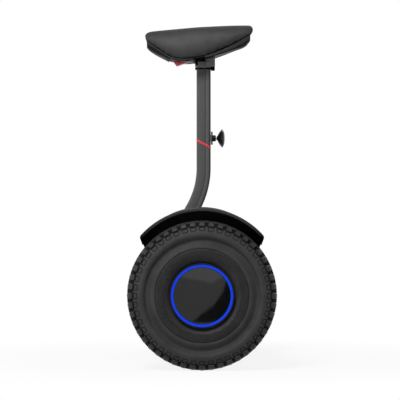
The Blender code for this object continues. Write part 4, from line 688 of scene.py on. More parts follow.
def round_the_axle():
    inputs = [("Count", "Int"), ("Centre", "Vector"), ("Finish", "Material")]
    tree, source = new_tree("repeat_round_the_axle", inputs)
    points = node(tree, "GeometryNodePoints", {"Count": source.outputs["Count"]})
    place = node(tree, "GeometryNodeInputIndex").outputs[0]
    share = sum_of(tree, "DIVIDE", place, source.outputs["Count"])
    turn = node(tree, "ShaderNodeCombineXYZ", {"Y": sum_of(tree, "MULTIPLY", share, math.tau)})
    copies = node(
        tree, "GeometryNodeInstanceOnPoints",
        {"Points": points.outputs[0], "Instance": source.outputs["Geometry"], "Rotation": turn.outputs[0]},
    )
    return end_tree(tree, source, copies.outputs[0], source.outputs["Centre"])


def in_a_row():
    tree, source = new_tree("repeat_in_a_row", [("Count", "Int"), ("Step", "Vector"), ("Finish", "Material")])
    line = node(tree, "GeometryNodeMeshLine", {"Count": source.outputs["Count"], "Offset": source.outputs["Step"]})
    copies = node(
        tree, "GeometryNodeInstanceOnPoints", {"Points": line.outputs[0], "Instance": source.outputs["Geometry"]}
    )
    return end_tree(tree, source, copies.outputs[0])


def at_each_point():
    tree, source = new_tree("copy_at_each_point", [("Copy", "Object"), ("Turn", "Vector"), ("Finish", "Material")])
    model = node(tree, "GeometryNodeObjectInfo", {"Object": source.outputs["Copy"]})
    copies = node(
        tree, "GeometryNodeInstanceOnPoints",
        {"Points": source.outputs["Geometry"], "Instance": model.outputs["Geometry"],
         "Rotation": source.outputs["Turn"]},
    )
    return end_tree(tree, source, copies.outputs[0])


TREES = {"round": round_the_axle(), "row": in_a_row(), "points": at_each_point()}
GROWN_SHARP = 30


def grown(name, tree, start, **inputs):
    """Run a tree on an object, keep the result as a plain mesh, and drop the object it started from."""
    modifier = start.modifiers.new(tree.name, "NODES")
    modifier.node_group = tree
    sockets = {item.name: item.identifier for item in tree.interface.items_tree if item.in_out == "INPUT"}
    for label, value in inputs.items():
        modifier[sockets[label]] = value
    mesh = applied(start)
    bpy.data.objects.remove(start)
    smooth(mesh, GROWN_SHARP)
    return shown(name, mesh)


print("trees:", [tree.name for tree in TREES.values()])

# %% [markdown]
# ## Tyres
# The tyre is a broad, low-pressure one. Its sidewall has a bead band, a valley, and a bulge, and a row of
# engraved boxes runs round it under the tread. A drawing of the section is the natural start, as for a real
# mould: a few points from the picture, with a smooth line through them.

# %% Carcass
TREAD_PITCHES = 48
COLUMNS_A_PITCH = 18
SIDEWALL = [
    (81.9, 24), (81.9, 30), (81.9, 35.2), (82.6, 36.6), (84.6, 37), (88, 35.8), (91, 33.7), (93.6, 31.9),
    (95.6, 31.1), (97.4, 31.2), (99, 32), (100.2, 33.3), (101.2, 34.9), (102.6, 36.4), (104.6, 37.4),
    (106.8, 37.8), (109.2, 37.4), (112, 36.3),
]
BOX_BAND = [(112, 36.3), (114.5, 35.2), (117, 34), (119.4, 32.5), (121, 31)]
SHOULDER = [(121, 31), (123.4, 28.4), (125.4, 26.4), (126.6, 20), (127, 11), (127.1, 0)]
TYRE_INSIDE = [(100, -20), (120, -19), (122, 0), (120, 19), (100, 20)]
BOX_INNER, BOX_OUTER = 113.3, 119.0
BOX_HALF_WIDTH, BOX_FLARE = 3.7, 0.3
LINE_DEPTH, LINE_HALF_WIDTH, LINE_SHADE = 1.1, 0.85, 1.4
GROUND_START, GROUND_FADE, GROUND_SHADE = 119.8, 1.2, 0.85


def box_groove(along, radius):
    """Depth of the engraving at a point: a line round a box that widens outwards, like a keystone."""
    half_width = BOX_HALF_WIDTH + (radius - BOX_INNER) * BOX_FLARE
    off_line = max(abs(along) - half_width, BOX_INNER - radius, radius - BOX_OUTER)
    return LINE_DEPTH * max(0.0, 1 - abs(off_line) / LINE_HALF_WIDTH)


def tyre_painted_shade(x, z):
    """Painted shade: 1 in the engraved lines, nearly 1 on the ground between the lugs, and 0 on the plain sidewall.
    """
    radius = math.hypot(x, z)
    pitches = math.atan2(x, z) / math.tau * TREAD_PITCHES
    along = (pitches - round(pitches)) * math.tau / TREAD_PITCHES * radius
    line = min(1.0, box_groove(along, radius) / LINE_DEPTH * LINE_SHADE)
    ground = GROUND_SHADE * min(1.0, max(0.0, (radius - GROUND_START) / GROUND_FADE))
    return max(line, ground)


def carcass_profile():
    """The closed section. The inboard side isn't engraved, so every second point is enough there."""
    outboard = fair(SIDEWALL, 2)[:-1] + fair(BOX_BAND, 4)[:-1] + fair(SHOULDER, 2)
    inboard = [(r, -a) for r, a in outboard[-3::-2]]
    return outboard + inboard + TYRE_INSIDE


print(len(carcass_profile()), "points round the tyre's section")


# %% [markdown]
# ## Pressing the boxes into the carcass
# The section is turned round the axle in many columns, so that there are points enough for the engraving. A point
# that lies on a box's outline moves inwards along the normal of the section, by the depth of the groove there.

# %% Both carcasses
def make_carcass(side_name, side):
    profile = carcass_profile()
    normals = []
    for index in range(len(profile)):
        before, after = profile[index - 1], profile[(index + 1) % len(profile)]
        along = Vector((after[0] - before[0], after[1] - before[1])).normalized()
        normals.append((-along.y, along.x))
    columns = TREAD_PITCHES * COLUMNS_A_PITCH
    half = COLUMNS_A_PITCH // 2
    rows = []
    for column in range(columns):
        angle = math.tau * column / columns
        share = ((column + half) % COLUMNS_A_PITCH - half) / COLUMNS_A_PITCH
        row = []
        for (r, a), (over, out) in zip(profile, normals):
            along = share * math.tau / TREAD_PITCHES * r
            depth = box_groove(along, r) if abs(a) > 30 and r > BOX_INNER - 2 else 0.0
            reach = (r + over * depth) * MM
            out_y = side * (WHEEL_PLANE + (a + out * depth) * MM)
            row.append((reach * math.sin(angle), out_y, AXLE_HEIGHT + reach * math.cos(angle)))
        rows.append(row)
    carcass = shaped(side_name + "_tyre_carcass", *skin(rows, ring=True), RUBBER_SHADED, 60)
    mark_painted_shade(carcass, lambda x, y, z: tyre_painted_shade(x, z - AXLE))
    dress(carcass, side_name + "_wheel", "tyre_rubber", side_name + "_tyre")


for side_name, side in SIDES.items():
    make_carcass(side_name, side)

# %% [markdown]
# ## Tread
# One pitch of the tread is a shoulder lug on each side and two blocks on the crown, half a pitch apart. A lug is
# wide where it leaves the sidewall and narrow on the crown, like a gable roof seen from the side. One pitch is
# modelled, and the tree repeats it 48 times.

# %% Lugs
LUG_LINE = [
    (120.9, 31.5, 4.6), (121.3, 33.2, 4.9), (122.3, 33.9, 5.0), (125.4, 31.6, 5.0), (127.9, 28.4, 4.8),
    (129.5, 25, 4.5), (130.5, 20.4, 4.0), (130.9, 16, 3.6), (130.9, 14.2, 3.4), (127.4, 13.6, 3.4),
]
CROWN_LINE = [
    (127, 12.2, 5.2), (130.4, 11.6, 4.9), (130.8, 10.8, 4.9), (130.8, 2.4, 5.6), (130.4, 1.6, 5.6), (127, 1, 5.8),
]
LUG_HEART = Vector((106, 10))
LUG_ROOT, LUG_FLARE, LUG_CHAMFER = 5, 0.7, 0.9


def block_rows(line, shift, flip):
    """Sections across a block: a flat top, chamfered edges, and walls that go down into the carcass."""
    rows = []
    for r, a, half_width in line:
        top = Vector((r, a))
        down = (LUG_HEART - top).normalized()
        foot, brow = top + down * LUG_ROOT, top + down * LUG_CHAMFER
        section = [
            (-half_width - LUG_FLARE, foot), (-half_width, brow), (-half_width + LUG_CHAMFER, top),
            (half_width - LUG_CHAMFER, top), (half_width, brow), (half_width + LUG_FLARE, foot),
        ]
        row = []
        for along, (radius, out) in section:
            turn = along / radius + shift
            row.append((radius * MM * math.sin(turn), flip * out * MM, radius * MM * math.cos(turn)))
        rows.append(row)
    return rows


def tread_pitch():
    """The lugs and crown blocks of one pitch, round the origin."""
    lines = ((LUG_LINE, 0.0), (CROWN_LINE, math.pi / TREAD_PITCHES))
    blocks = [skin(block_rows(line, shift, flip), caps=True) for line, shift in lines for flip in (-1, 1)]
    return shaped("tread_pitch", *joined(blocks), TREAD, 28)


for side_name, side in SIDES.items():
    lugs = grown(
        side_name + "_tyre_lugs", TREES["round"], tread_pitch(),
        Count=TREAD_PITCHES, Centre=(0, side * WHEEL_PLANE, AXLE_HEIGHT), Finish=TREAD,
    )
    dress(lugs, side_name + "_wheel", "tyre_rubber")

# %% [markdown]
# ## Wheel covers
# The cover is a dished ring of black plastic. It falls from a rounded crest into a dark cone round the lamp, and
# the crest is knurled, so that it looks like cloth from afar. The ring is a lathe shape. The knurl is about a
# thousand small pyramids, set in staggered rows by a fourth tree, which also tilts each one to the crest.

# %% Cover ring
CREST_RADIUS, CREST_HEIGHT, CREST_CURVE = 73.6, 38.1, 0.03


def crest(radius):
    """How far outboard the crest of the cover stands at a radius."""
    return CREST_HEIGHT - CREST_CURVE * (radius - CREST_RADIUS) ** 2


COVER_PROFILE = (
    [(81.6, 31.3), (81.6, 35.4), (81.2, 36.2)]
    + [(r / 2, crest(r / 2)) for r in range(161, 133, -3)]
    + [(66.2, 36.2), (65.3, 35.2), (63.6, 33.8), (60, 30.9), (58, 29.4), (57.4, 28.6), (57.3, 25.4), (60.4, 25.4),
       (66, 33), (73, 35.6), (78.4, 33.8), (78.6, 31.3)]
)

KNURL_INNER, KNURL_OUTER = 67, 79.6
KNURL_SHADE = 0.85


def knurl_painted_shade(x, y, z):
    """Painted shade on the knurled band, which darkens the valleys between the pyramids."""
    return KNURL_SHADE if KNURL_INNER < math.hypot(x, z - AXLE) < KNURL_OUTER else 0.0


for side_name, side in SIDES.items():
    cover = turned_on_axle(side_name + "_cover_ring", side, COVER_PROFILE, 192, COVER_SHADED, 40)
    mark_painted_shade(cover, knurl_painted_shade)
    dress(cover, side_name + "_wheel", "cover_black", side_name + "_wheel_cover")

# %% Knurl
KNURL_COLUMNS, KNURL_ROWS = 156, 7
KNURL_START, KNURL_STEP = 67.9, 1.9
KNURL_HEIGHT, KNURL_SUNK = 0.74, 0.15
KNURL_FILL = 0.94  # the share of its place that a pyramid covers


def knurl_tree(side):
    """Staggered rows of copies on the crest of one side's cover, each turned and tilted to the surface."""
    inputs = [("Columns", "Int"), ("Rows", "Int"), ("Centre", "Vector"), ("Finish", "Material")]
    tree, source = new_tree("knurl_in_staggered_rows", inputs)
    columns = source.outputs["Columns"]
    points = node(tree, "GeometryNodePoints", {"Count": sum_of(tree, "MULTIPLY", columns, source.outputs["Rows"])})
    place = node(tree, "GeometryNodeInputIndex").outputs[0]
    row = sum_of(tree, "FLOOR", sum_of(tree, "DIVIDE", sum_of(tree, "ADD", place, 0.5), columns))
    stagger = sum_of(tree, "MULTIPLY", sum_of(tree, "MODULO", row, 2), 0.5)
    share = sum_of(tree, "DIVIDE", sum_of(tree, "ADD", place, stagger), columns)
    turn = sum_of(tree, "MULTIPLY", share, math.tau)
    radius = sum_of(tree, "ADD", sum_of(tree, "MULTIPLY", row, KNURL_STEP), KNURL_START)
    off = sum_of(tree, "SUBTRACT", radius, CREST_RADIUS)
    fall = sum_of(tree, "MULTIPLY", sum_of(tree, "MULTIPLY", off, off), CREST_CURVE)
    height = sum_of(tree, "MULTIPLY", sum_of(tree, "SUBTRACT", CREST_HEIGHT, fall), side * MM)
    reach = sum_of(tree, "MULTIPLY", radius, MM)
    spot = node(tree, "ShaderNodeCombineXYZ", {
        "X": sum_of(tree, "MULTIPLY", reach, sum_of(tree, "SINE", turn)), "Y": height,
        "Z": sum_of(tree, "MULTIPLY", reach, sum_of(tree, "COSINE", turn)),
    })
    tilt = sum_of(tree, "MULTIPLY", off, -side * 2 * CREST_CURVE)
    lean = sum_of(tree, "MULTIPLY", sum_of(tree, "ARCTANGENT", tilt), -1)
    leaning = node(tree, "ShaderNodeCombineXYZ", {"X": lean, "Y": turn})
    set_out = node(tree, "GeometryNodeSetPosition", {"Geometry": points.outputs[0], "Position": spot.outputs[0]})
    width = sum_of(tree, "DIVIDE", radius, CREST_RADIUS)
    wider = node(tree, "ShaderNodeCombineXYZ", {"X": width, "Y": 1.0, "Z": 1.0})
    copies = node(
        tree, "GeometryNodeInstanceOnPoints",
        {"Points": set_out.outputs[0], "Instance": source.outputs["Geometry"], "Rotation": leaning.outputs[0],
         "Scale": wider.outputs[0]},
    )
    return end_tree(tree, source, copies.outputs[0], source.outputs["Centre"])


def pyramid(side):
    """A diamond-shaped pyramid whose tip points outboard."""
    half_width = math.pi * CREST_RADIUS / KNURL_COLUMNS * KNURL_FILL * MM
    half_height = KNURL_STEP * KNURL_FILL * MM
    sunk, tip = -KNURL_SUNK * MM * side, KNURL_HEIGHT * MM * side
    base = [(half_width, sunk, 0), (0, sunk, half_height), (-half_width, sunk, 0), (0, sunk, -half_height)]
    faces = [(0, 1, 4), (1, 2, 4), (2, 3, 4), (3, 0, 4), (3, 2, 1, 0)]
    return shaped("pyramid", base + [(0, tip, 0)], faces, COVER, 10)


for side_name, side in SIDES.items():
    knurl = grown(
        side_name + "_cover_knurl", knurl_tree(side), pyramid(side), Columns=KNURL_COLUMNS, Rows=KNURL_ROWS,
        Centre=(0, side * WHEEL_PLANE, AXLE_HEIGHT), Finish=COVER,
    )
    dress(knurl, side_name + "_wheel", "cover_black")

# %% [markdown]
# ## Hub lamps
# The middle of the wheel stands still while the wheel turns round it. It is a polished cap with a slight dome and
# a bevelled edge, inside a ring of light, and a thin bezel holds the ring. The bezel carries painted shade, which
# makes it darker and duller. The lamp's colour is written in its material, so it looks the same in any room.

# %% Cap, ring of light and bezel
CAP_PROFILE = [
    (0, 37.6), (12, 37.5), (24, 37.15), (36, 36.55), (44, 35.95), (47, 35.7), (49.2, 35.5), (49.5, 35.2),
    (49.5, 29.4), (46.5, 29.4), (46.5, 32.4), (0, 32.4),
]
RING_PROFILE = [
    (50.1, 29.4), (50.1, 33.4), (50.5, 33.4), (50.5, 35.5), (50.9, 36.1), (51.3, 36.4), (51.9, 36.5), (52.5, 36.4),
    (53.0, 36.1), (53.3, 35.5), (53.3, 33.4), (54.0, 33.4), (54.0, 29.4),
]
BEZEL_PROFILE = [
    (54.15, 30.4), (54.15, 36.7), (54.6, 37.2), (55.4, 37.4), (56.2, 37.1), (56.7, 36.2), (56.8, 35), (56.8, 30.4),
]
# painted shade over the whole bezel
BEZEL_SHADE = 0.6

for side_name, side in SIDES.items():
    cap = turned_on_axle(side_name + "_cap", side, CAP_PROFILE, 128, GLOSS, 20)
    dress(cap, "frame", "gloss_black", side_name + "_hub_cap")
    ring = turned_on_axle(side_name + "_glow_ring", side, RING_PROFILE, 160, BLUE, 50)
    dress(ring, "frame", "blue_light", side_name + "_light_ring")
    bezel = turned_on_axle(side_name + "_lamp_bezel", side, BEZEL_PROFILE, 160, COVER_SHADED, 50)
    mark_painted_shade(bezel, lambda x, y, z: BEZEL_SHADE)
    dress(bezel, "frame", "cover_black")

# %% [markdown]
# ## Fenders
# Each fender is an arch over the inner part of the tyre, with a thick rolled lip that catches the light, and a
# flat web that it stands on. The arch is a skin: at each point of its outline stands the same small section,
# which gets thinner where the tyre's sweep cuts it off at both ends.

# %% Fender arch and web
FENDER_CENTRE = 139.9
FENDER_RADIUS = 144
FENDER_HALF_ANGLE = math.radians(47.7)
FENDER_CORNER = 7
FENDER_FOOT, FENDER_FOOT_BOTTOM, FENDER_NECK = 98.5, 108, 204
TYRE_SWEEP = 134.6
WEB_IN, WEB_OUT, FENDER_REACH = 185.3, 189.3, 250
NECK_STEPS, CORNER_STEPS, ARCH_STEPS = 12, 10, 32
AXLE_POINT = Vector((0, AXLE))


def outwards(angle):
    """The direction in (X, Z) at an angle from straight up."""
    return Vector((math.sin(angle), math.cos(angle)))


def fender_half():
    """Half of the outline from the foot to the top, as (point, outward angle)."""
    centre = Vector((0, FENDER_CENTRE))
    corner = centre + (FENDER_RADIUS - FENDER_CORNER) * outwards(FENDER_HALF_ANGLE)
    reach = Vector((corner.x - FENDER_FOOT, corner.y - FENDER_NECK))
    first = math.atan2(reach.x, reach.y) + math.asin(FENDER_CORNER / reach.length) + math.pi / 2
    line = [(Vector((FENDER_FOOT, FENDER_FOOT_BOTTOM)), first), (Vector((FENDER_FOOT, FENDER_NECK)), first)]
    start = corner + FENDER_CORNER * outwards(first)
    for index in range(1, NECK_STEPS):
        line.append((line[1][0].lerp(start, index / NECK_STEPS), first))
    for index in range(CORNER_STEPS):
        angle = first + (FENDER_HALF_ANGLE - first) * index / CORNER_STEPS
        line.append((corner + FENDER_CORNER * outwards(angle), angle))
    for index in range(ARCH_STEPS + 1):
        angle = FENDER_HALF_ANGLE * (1 - index / ARCH_STEPS)
        line.append((centre + FENDER_RADIUS * outwards(angle), angle))
    return line


def depth_to_sweep(point, angle):
    """How far a ray from the outline goes inwards before it meets the tyre's sweep."""
    from_axle = point - AXLE_POINT
    along = -from_axle.dot(outwards(angle))
    inside = along * along - (from_axle.length_squared - TYRE_SWEEP ** 2)
    return -along - math.sqrt(inside) if inside > 0 else math.inf


print(len(fender_half()), "points in half of the fender's outline")


# %% [markdown]
# ## Section of the fender's arch
# The outer face runs level from the web to a rolled lip, which folds down and back to a thinner inner wall. Where
# the tyre's sweep cuts the arch off, the same section is squeezed to the depth that is left.

# %% Section of the arch
LIP_HEIGHT, LIP_FADE = 5.6, 3.6
WALL, WALL_FADE = 4.0, 2.6
END_FADE = 0.9


def arch_section(point, angle, side):
    """Section of the arch at one point: outer face, rolled lip, inner face."""
    limit = depth_to_sweep(point, angle)
    end = min(1.0, max(0.0, (abs(angle) - FENDER_HALF_ANGLE) / END_FADE))
    lip, wall = min(LIP_HEIGHT - LIP_FADE * end, limit), min(WALL - WALL_FADE * end, limit)
    profile = [  # depth below the outline, distance from the lip's face
        (0.0, FENDER_REACH - WEB_IN), (0.0, 20), (0.0, 1.6), (0.25, 0.7), (0.9, 0.15), (min(1.6, lip * 0.4), 0),
        (lip * 0.78, 0), (lip * 0.92, 0.25), (lip, 1), (lip, 5.6), (wall, 6.6), (wall, FENDER_REACH - WEB_IN),
    ]
    inwards = -outwards(angle)
    row = []
    for depth, back in profile:
        spot = point + inwards * min(max(depth, 0.0), limit)
        row.append((spot.x * MM, side * (FENDER_REACH - back) * MM, spot.y * MM))
    return row


# %% [markdown]
# ## Arch and web together
# The web is a plate of the same outline with a soft edge, and the arch starts from it. Hardly any light reaches
# the inside of a fender, so it gets black painted shade, which runs out over the ends of the outer face.

# %% Both fenders
SWEEP_MARGIN = 0.3
WEB_EDGE, WEB_MEAN_RADIUS = 0.8, 120
END_HEIGHT = FENDER_CENTRE + (FENDER_RADIUS - FENDER_CORNER) * math.cos(FENDER_HALF_ANGLE) - 3
INNER_FACE, WEB_FACE = FENDER_RADIUS - 5.2, WEB_OUT + 0.3
END_SHADE, END_SHADE_START, END_SHADE_SLOPE = 0.8, 0.72, 2.9


def mirrored(half):
    """A whole outline from its half: the points, then the same points with X turned round."""
    return half + [(Vector((-point.x, point.y)), -angle) for point, angle in half[-2::-1]]


def web_row(outline, out, shrink):
    """The web's outline at a distance from the middle, drawn in towards the axle for a soft edge."""
    share = 1 - shrink / WEB_MEAN_RADIUS
    return [(p.x * share * MM, out * MM, (AXLE + (p.y - AXLE) * share) * MM) for p, _ in outline]


def fender_painted_shade(x, y, z):
    """Painted shade: the inside and the ends are black, and the outer face darkens towards its ends."""
    inside = math.hypot(x, z - FENDER_CENTRE) < INNER_FACE
    if inside or (z < END_HEIGHT and abs(y) > WEB_FACE):
        return 1.0
    share = math.atan2(abs(x), z - FENDER_CENTRE) / FENDER_HALF_ANGLE
    return min(END_SHADE, max(0.0, (share - END_SHADE_START) * END_SHADE_SLOPE))


def make_fender(side_name, side):
    half = fender_half()
    clear = [(point, angle) for point, angle in half[1:] if (point - AXLE_POINT).length > TYRE_SWEEP + SWEEP_MARGIN]
    arch = skin([arch_section(point, angle, side) for point, angle in mirrored(clear)], caps=True)
    edges = ((WEB_IN, WEB_EDGE), (WEB_IN + 0.6, 0), (WEB_OUT - 0.6, 0), (WEB_OUT, WEB_EDGE))
    web = skin([web_row(mirrored(half), side * out, shrink) for out, shrink in edges], caps=True)
    fender = shaped(side_name + "_fender_shell", *joined([arch, web]), SHELL_SHADED, 38)
    mark_painted_shade(fender, fender_painted_shade)
    dress(fender, "frame", "shell_black", side_name + "_fender")


for side_name, side in SIDES.items():
    make_fender(side_name, side)

# %% [markdown]
# ## Shells of the body
# The deck shell, the bottom cover and the spine between the feet keep the shape of their solids. A mould can't
# make a knife edge, so each gets rounded edges from the Bevel modifier, and the light draws a line along them.

# %% Rounded shells
ROUNDED = {  # radius of the edges in millimetres, finish, body
    "deck_shell": (2.2, SHELL, "frame"),
    "bottom_cover": (2.0, SHELL, "frame"),
    "spine_cover": (1.6, SHELL, "frame"),
    "charge_port": (0.4, GLOSS, "frame"),
    "post_foot": (1.4, CASTING, "steering_post"),
    "charge_cap": (0.5, SHELL, "charge_cap"),
    "power_button": (0.5, GLOSS, "power_button"),
    "headlight": (1.2, LENS, "frame"),
    "tail_light": (0.9, RED_LENS, "frame"),
}
for name, how in ROUNDED.items():
    bevelled(name, *how)

# %% [markdown]
# ## Foot mats
# The rider stands on two rubber mats. Each is a slab with ribs across it. One rib is
# modelled and repeated in a row by the second tree.

# %% Mats with ribs
MAT_FRONT, MAT_INNER, MAT_OUTER = -90, 56, 179
MAT_FLOOR, MAT_TOP, RIB_HEIGHT = 146.3, 150, 1.1
RIB_COUNT, RIB_STEP, RIB_HALF_WIDTH = 23, 7.2, 1.5
RIB_INSET, RIB_END = 11, 7
SOFT_EDGE = ((0, 0.3), (0.4, 0)), ((-0.6, 0), (-0.2, 0.25), (0, 0.7))


def rounded_box(low, high, radius, steps=4):
    """Rows of a box whose upright edges are rounded and whose top edge is softened, in millimetres."""
    middle = [(low[0] + high[0]) / 2, (low[1] + high[1]) / 2]
    reach = [(high[0] - low[0]) / 2, (high[1] - low[1]) / 2]
    rows = []
    levels = [(end + up, shrink) for end, edge in zip((low[2], high[2]), SOFT_EDGE) for up, shrink in edge]
    for height, shrink in levels:
        row = []
        for corner in range(4):
            sign_x, sign_y = ((1, 1), (-1, 1), (-1, -1), (1, -1))[corner]
            for step in range(steps + 1):
                angle = math.pi / 2 * (corner + step / steps)
                row.append((
                    (middle[0] + sign_x * (reach[0] - radius) + (radius - shrink) * math.cos(angle)) * MM,
                    (middle[1] + sign_y * (reach[1] - radius) + (radius - shrink) * math.sin(angle)) * MM,
                    height * MM,
                ))
        rows.append(row)
    return rows


def boxed(name, low, high, radius, material, steps=4):
    """An object of one rounded box."""
    return shaped(name, *skin(rounded_box(low, high, radius, steps), caps=True), material, 40)


def make_mat(side_name, side):
    low_y, high_y = sorted((side * MAT_INNER, side * MAT_OUTER))
    slab_top = MAT_TOP - RIB_HEIGHT
    slab = boxed(side_name + "_mat_slab", (MAT_FRONT, low_y, MAT_FLOOR), (-MAT_FRONT, high_y, slab_top), 9, MAT)
    dress(slab, "frame", "mat_black", side_name + "_foot_mat")
    first = MAT_FRONT + RIB_INSET
    low = (first - RIB_HALF_WIDTH, low_y + RIB_END, slab_top - 0.5)
    high = (first + RIB_HALF_WIDTH, high_y - RIB_END, MAT_TOP)
    rib = boxed("rib", low, high, 1.4, MAT, 2)
    ribs = grown(side_name + "_mat_ribs", TREES["row"], rib, Count=RIB_COUNT, Step=(RIB_STEP * MM, 0, 0), Finish=MAT)
    dress(ribs, "frame", "mat_black")


for side_name, side in SIDES.items():
    make_mat(side_name, side)

# %% [markdown]
# ## Screws and ribs underneath
# A bottom cover is held by screws from below, and stiffened by shallow ribs. The third tree sets one socket
# head screw at each point of a short list.

# %% Socket head screws
SCREW_RADIUS, SCREW_HEIGHT, SCREW_CHAMFER = 3.4, 1.2, 0.35
SCREW_COLUMNS = 24
BELLY_SCREWS = [(x, y, 64.05) for x in (-58, 58) for y in (-168, -60, 60, 168)]


def screw_row(height, radius, hexagon=False):
    """A circle or a hexagon of that radius at a height below the screw's seat."""
    row = []
    for index in range(SCREW_COLUMNS):
        angle = math.tau * index / SCREW_COLUMNS
        off = (angle + math.pi / 6) % (math.pi / 3) - math.pi / 6
        reach = radius * math.cos(math.pi / 6) / math.cos(off) if hexagon else radius
        row.append((reach * math.cos(angle) * MM, reach * math.sin(angle) * MM, -height * MM))
    return row


def screw_model():
    """A socket head with a hexagonal recess, hanging below Z = 0."""
    rows = [
        screw_row(0, SCREW_RADIUS), screw_row(SCREW_HEIGHT - SCREW_CHAMFER, SCREW_RADIUS),
        screw_row(SCREW_HEIGHT, SCREW_RADIUS - SCREW_CHAMFER), screw_row(SCREW_HEIGHT, SCREW_RADIUS * 0.5, True),
        screw_row(SCREW_HEIGHT * 0.45, SCREW_RADIUS * 0.5, True),
    ]
    return shaped("screw_model", *skin(rows, caps=True), STEEL, 30)


def make_belly_screws():
    points = bpy.data.meshes.new("screw_places")
    points.from_pydata([tuple(c * MM for c in place) for place in BELLY_SCREWS], [], [])
    model = screw_model()
    start = shown("screw_places", points)
    screws = grown("belly_screws", TREES["points"], start, Copy=model, Turn=(0, 0, 0), Finish=STEEL)
    bpy.data.objects.remove(model)
    dress(screws, "frame", "steel")


make_belly_screws()

# %% Ribs of the belly
BELLY_RIB_LOW, BELLY_RIB_HIGH = (-52, -151.1, 62.9), (52, -148.9, 64.6)
BELLY_RIB_COUNT, BELLY_RIB_STEP = 16, 20

rib = boxed("belly_rib", BELLY_RIB_LOW, BELLY_RIB_HIGH, 1.0, SHELL, 2)
ribs = grown(
    "belly_ribs", TREES["row"], rib, Count=BELLY_RIB_COUNT, Step=(0, BELLY_RIB_STEP * MM, 0), Finish=SHELL,
)
dress(ribs, "frame", "shell_black")

# %% [markdown]
# ## The steering post
# The post is a steel tube with a flat face, a soft crease along it and a bevelled rear edge. It leans forward at
# its foot and runs straight above. A bent tube keeps its section, so the section is drawn once and carried along
# the path in many small steps, each turned a little further.

# %% Section and path of the post
POST_X, POST_DEPTH, POST_WIDTH = 3.4, 26.5, 32
BEND_TOP, BEND_RADIUS, BEND_ANGLE = 357, 150, math.radians(29)
RING_HEIGHT, RING_SLOPE, RING_THICKNESS = 401.3, 0.53, 4.8
SOCKET_FLOOR, SLEEVE_TOP = 208.5, 549
POST_WALL, PARTING_GAP, BEND_STEPS = 2, 0.3, 28


def post_section(grow=0.0):
    """Half the section from front to rear as (depth, width), mirrored to a closed row."""
    side = POST_WIDTH / 2
    half = [
        (0.0, 11.8), (0.2, 12.7), (0.8, 13.7), (1.8, 14.8), (2.8, 15.7), (4.0, side), (9, side), (15.4, side),
        (16.0, side - 0.25), (16.6, side - 0.75), (17.2, side - 1.0), (17.8, side - 0.8), (18.6, side - 0.55),
        (19.6, side - 0.6), (21.2, side - 0.95), (22.7, side - 1.5), (23.7, side - 2.3), (24.6, side - 3.6),
        (25.4, side - 5.0), (26.1, side - 6.2),
    ]
    section = []
    for depth, width in half:
        away = (depth / POST_DEPTH - 0.5) * 2 * grow
        section.append((depth - POST_DEPTH / 2 + away, width + grow))
    return [(a, -b) for a, b in section] + [(a, b) for a, b in reversed(section)]


def post_row(section, centre_x, centre_z, lean, slope=0.0):
    """The section at a point of the path, turned with it, or cut on a slope where the post is straight."""
    row = []
    for a, b in section:
        row.append((
            (centre_x + a * math.cos(lean)) * MM, b * MM,
            (centre_z - a * math.sin(lean) - slope * a) * MM,
        ))
    return row


def bend_at(share):
    """The middle of the section and its lean, at a share of the bend counted from above."""
    angle = BEND_ANGLE * share
    return POST_X - BEND_RADIUS * (1 - math.cos(angle)), BEND_TOP - BEND_RADIUS * math.sin(angle), angle


# painted shade across the flank, by depth from the front of the section
FLANK_SHADE = [
    (0, 0.2), (15.7, 0.2), (17.0, 0.38), (18.4, 0.0), (22.2, 0.0), (23.8, 0.2), (24.6, 0.88), (25.5, 0.84),
    (26.1, 0.3), (26.5, 0.2),
]


def shade_at(depth):
    """Painted shade across the flank: a little on the flat face, more in the crease, most on the rear bevel."""
    return float(np.interp(depth, *zip(*FLANK_SHADE)))


def tube(name, rows_outside, rows_inside, material):
    """A tube of the post's section, open at both ends, with painted shade stored for its flanks."""
    piece = shaped(name, *skin(rows_outside + rows_inside[::-1], ring=True), material, 50)
    section = [shade_at(a + POST_DEPTH / 2) for a, _ in post_section()]
    marks = piece.data.attributes.new("hollow", "FLOAT", "POINT")
    marks.data.foreach_set("value", [section[i % len(section)] for i in range(len(piece.data.vertices))])
    return piece


def foot_row(section, height):
    """The section of the leaning foot, cut level at a height."""
    x, z, angle = bend_at(1)
    centre = x - (z - height) * math.tan(angle)
    return [((centre + a / math.cos(angle)) * MM, b * MM, height * MM) for a, b in section]


# %% [markdown]
# ## Tube, ring and sleeve
# The lower tube ends in a slanting cut, a red ring sits on it, and the sleeve starts above the ring. All three
# share the section. The ring stands a quarter of a millimetre proud with chamfered edges. The sleeve rides on a
# body of its own, because it slides up the mast when the height is changed.

# %% Lower tube, ring and sleeve
RING_LOW, RING_HIGH = RING_HEIGHT - RING_THICKNESS / 2, RING_HEIGHT + RING_THICKNESS / 2
RING_PROUD, RING_CHAMFER = 0.25, 0.4
FOOT_GAP, FOOT_LENGTH, BEND_LEAD, SLEEVE_CUT = 0.3, 40, 20, 12


def straight_row(section, height, slope=0.0):
    """The section on the straight part of the post, level or cut on a slope."""
    return post_row(section, POST_X, height, 0, slope)


def lower_rows(section):
    """Rows of the lower tube, from the socket up to the slanting cut."""
    rows = [foot_row(section, SOCKET_FLOOR + FOOT_GAP), foot_row(section, SOCKET_FLOOR + FOOT_LENGTH)]
    rows += [post_row(section, *bend_at(1 - index / BEND_STEPS)) for index in range(BEND_STEPS)]
    rows += [straight_row(section, BEND_TOP), straight_row(section, BEND_TOP + BEND_LEAD)]
    return rows + [straight_row(section, RING_LOW - PARTING_GAP, RING_SLOPE)]


def sleeve_rows(section):
    """Rows of the sleeve, from the slanting cut to its top."""
    parting = straight_row(section, RING_HIGH + PARTING_GAP, RING_SLOPE)
    return [parting, straight_row(section, RING_HIGH + SLEEVE_CUT), straight_row(section, SLEEVE_TOP)]


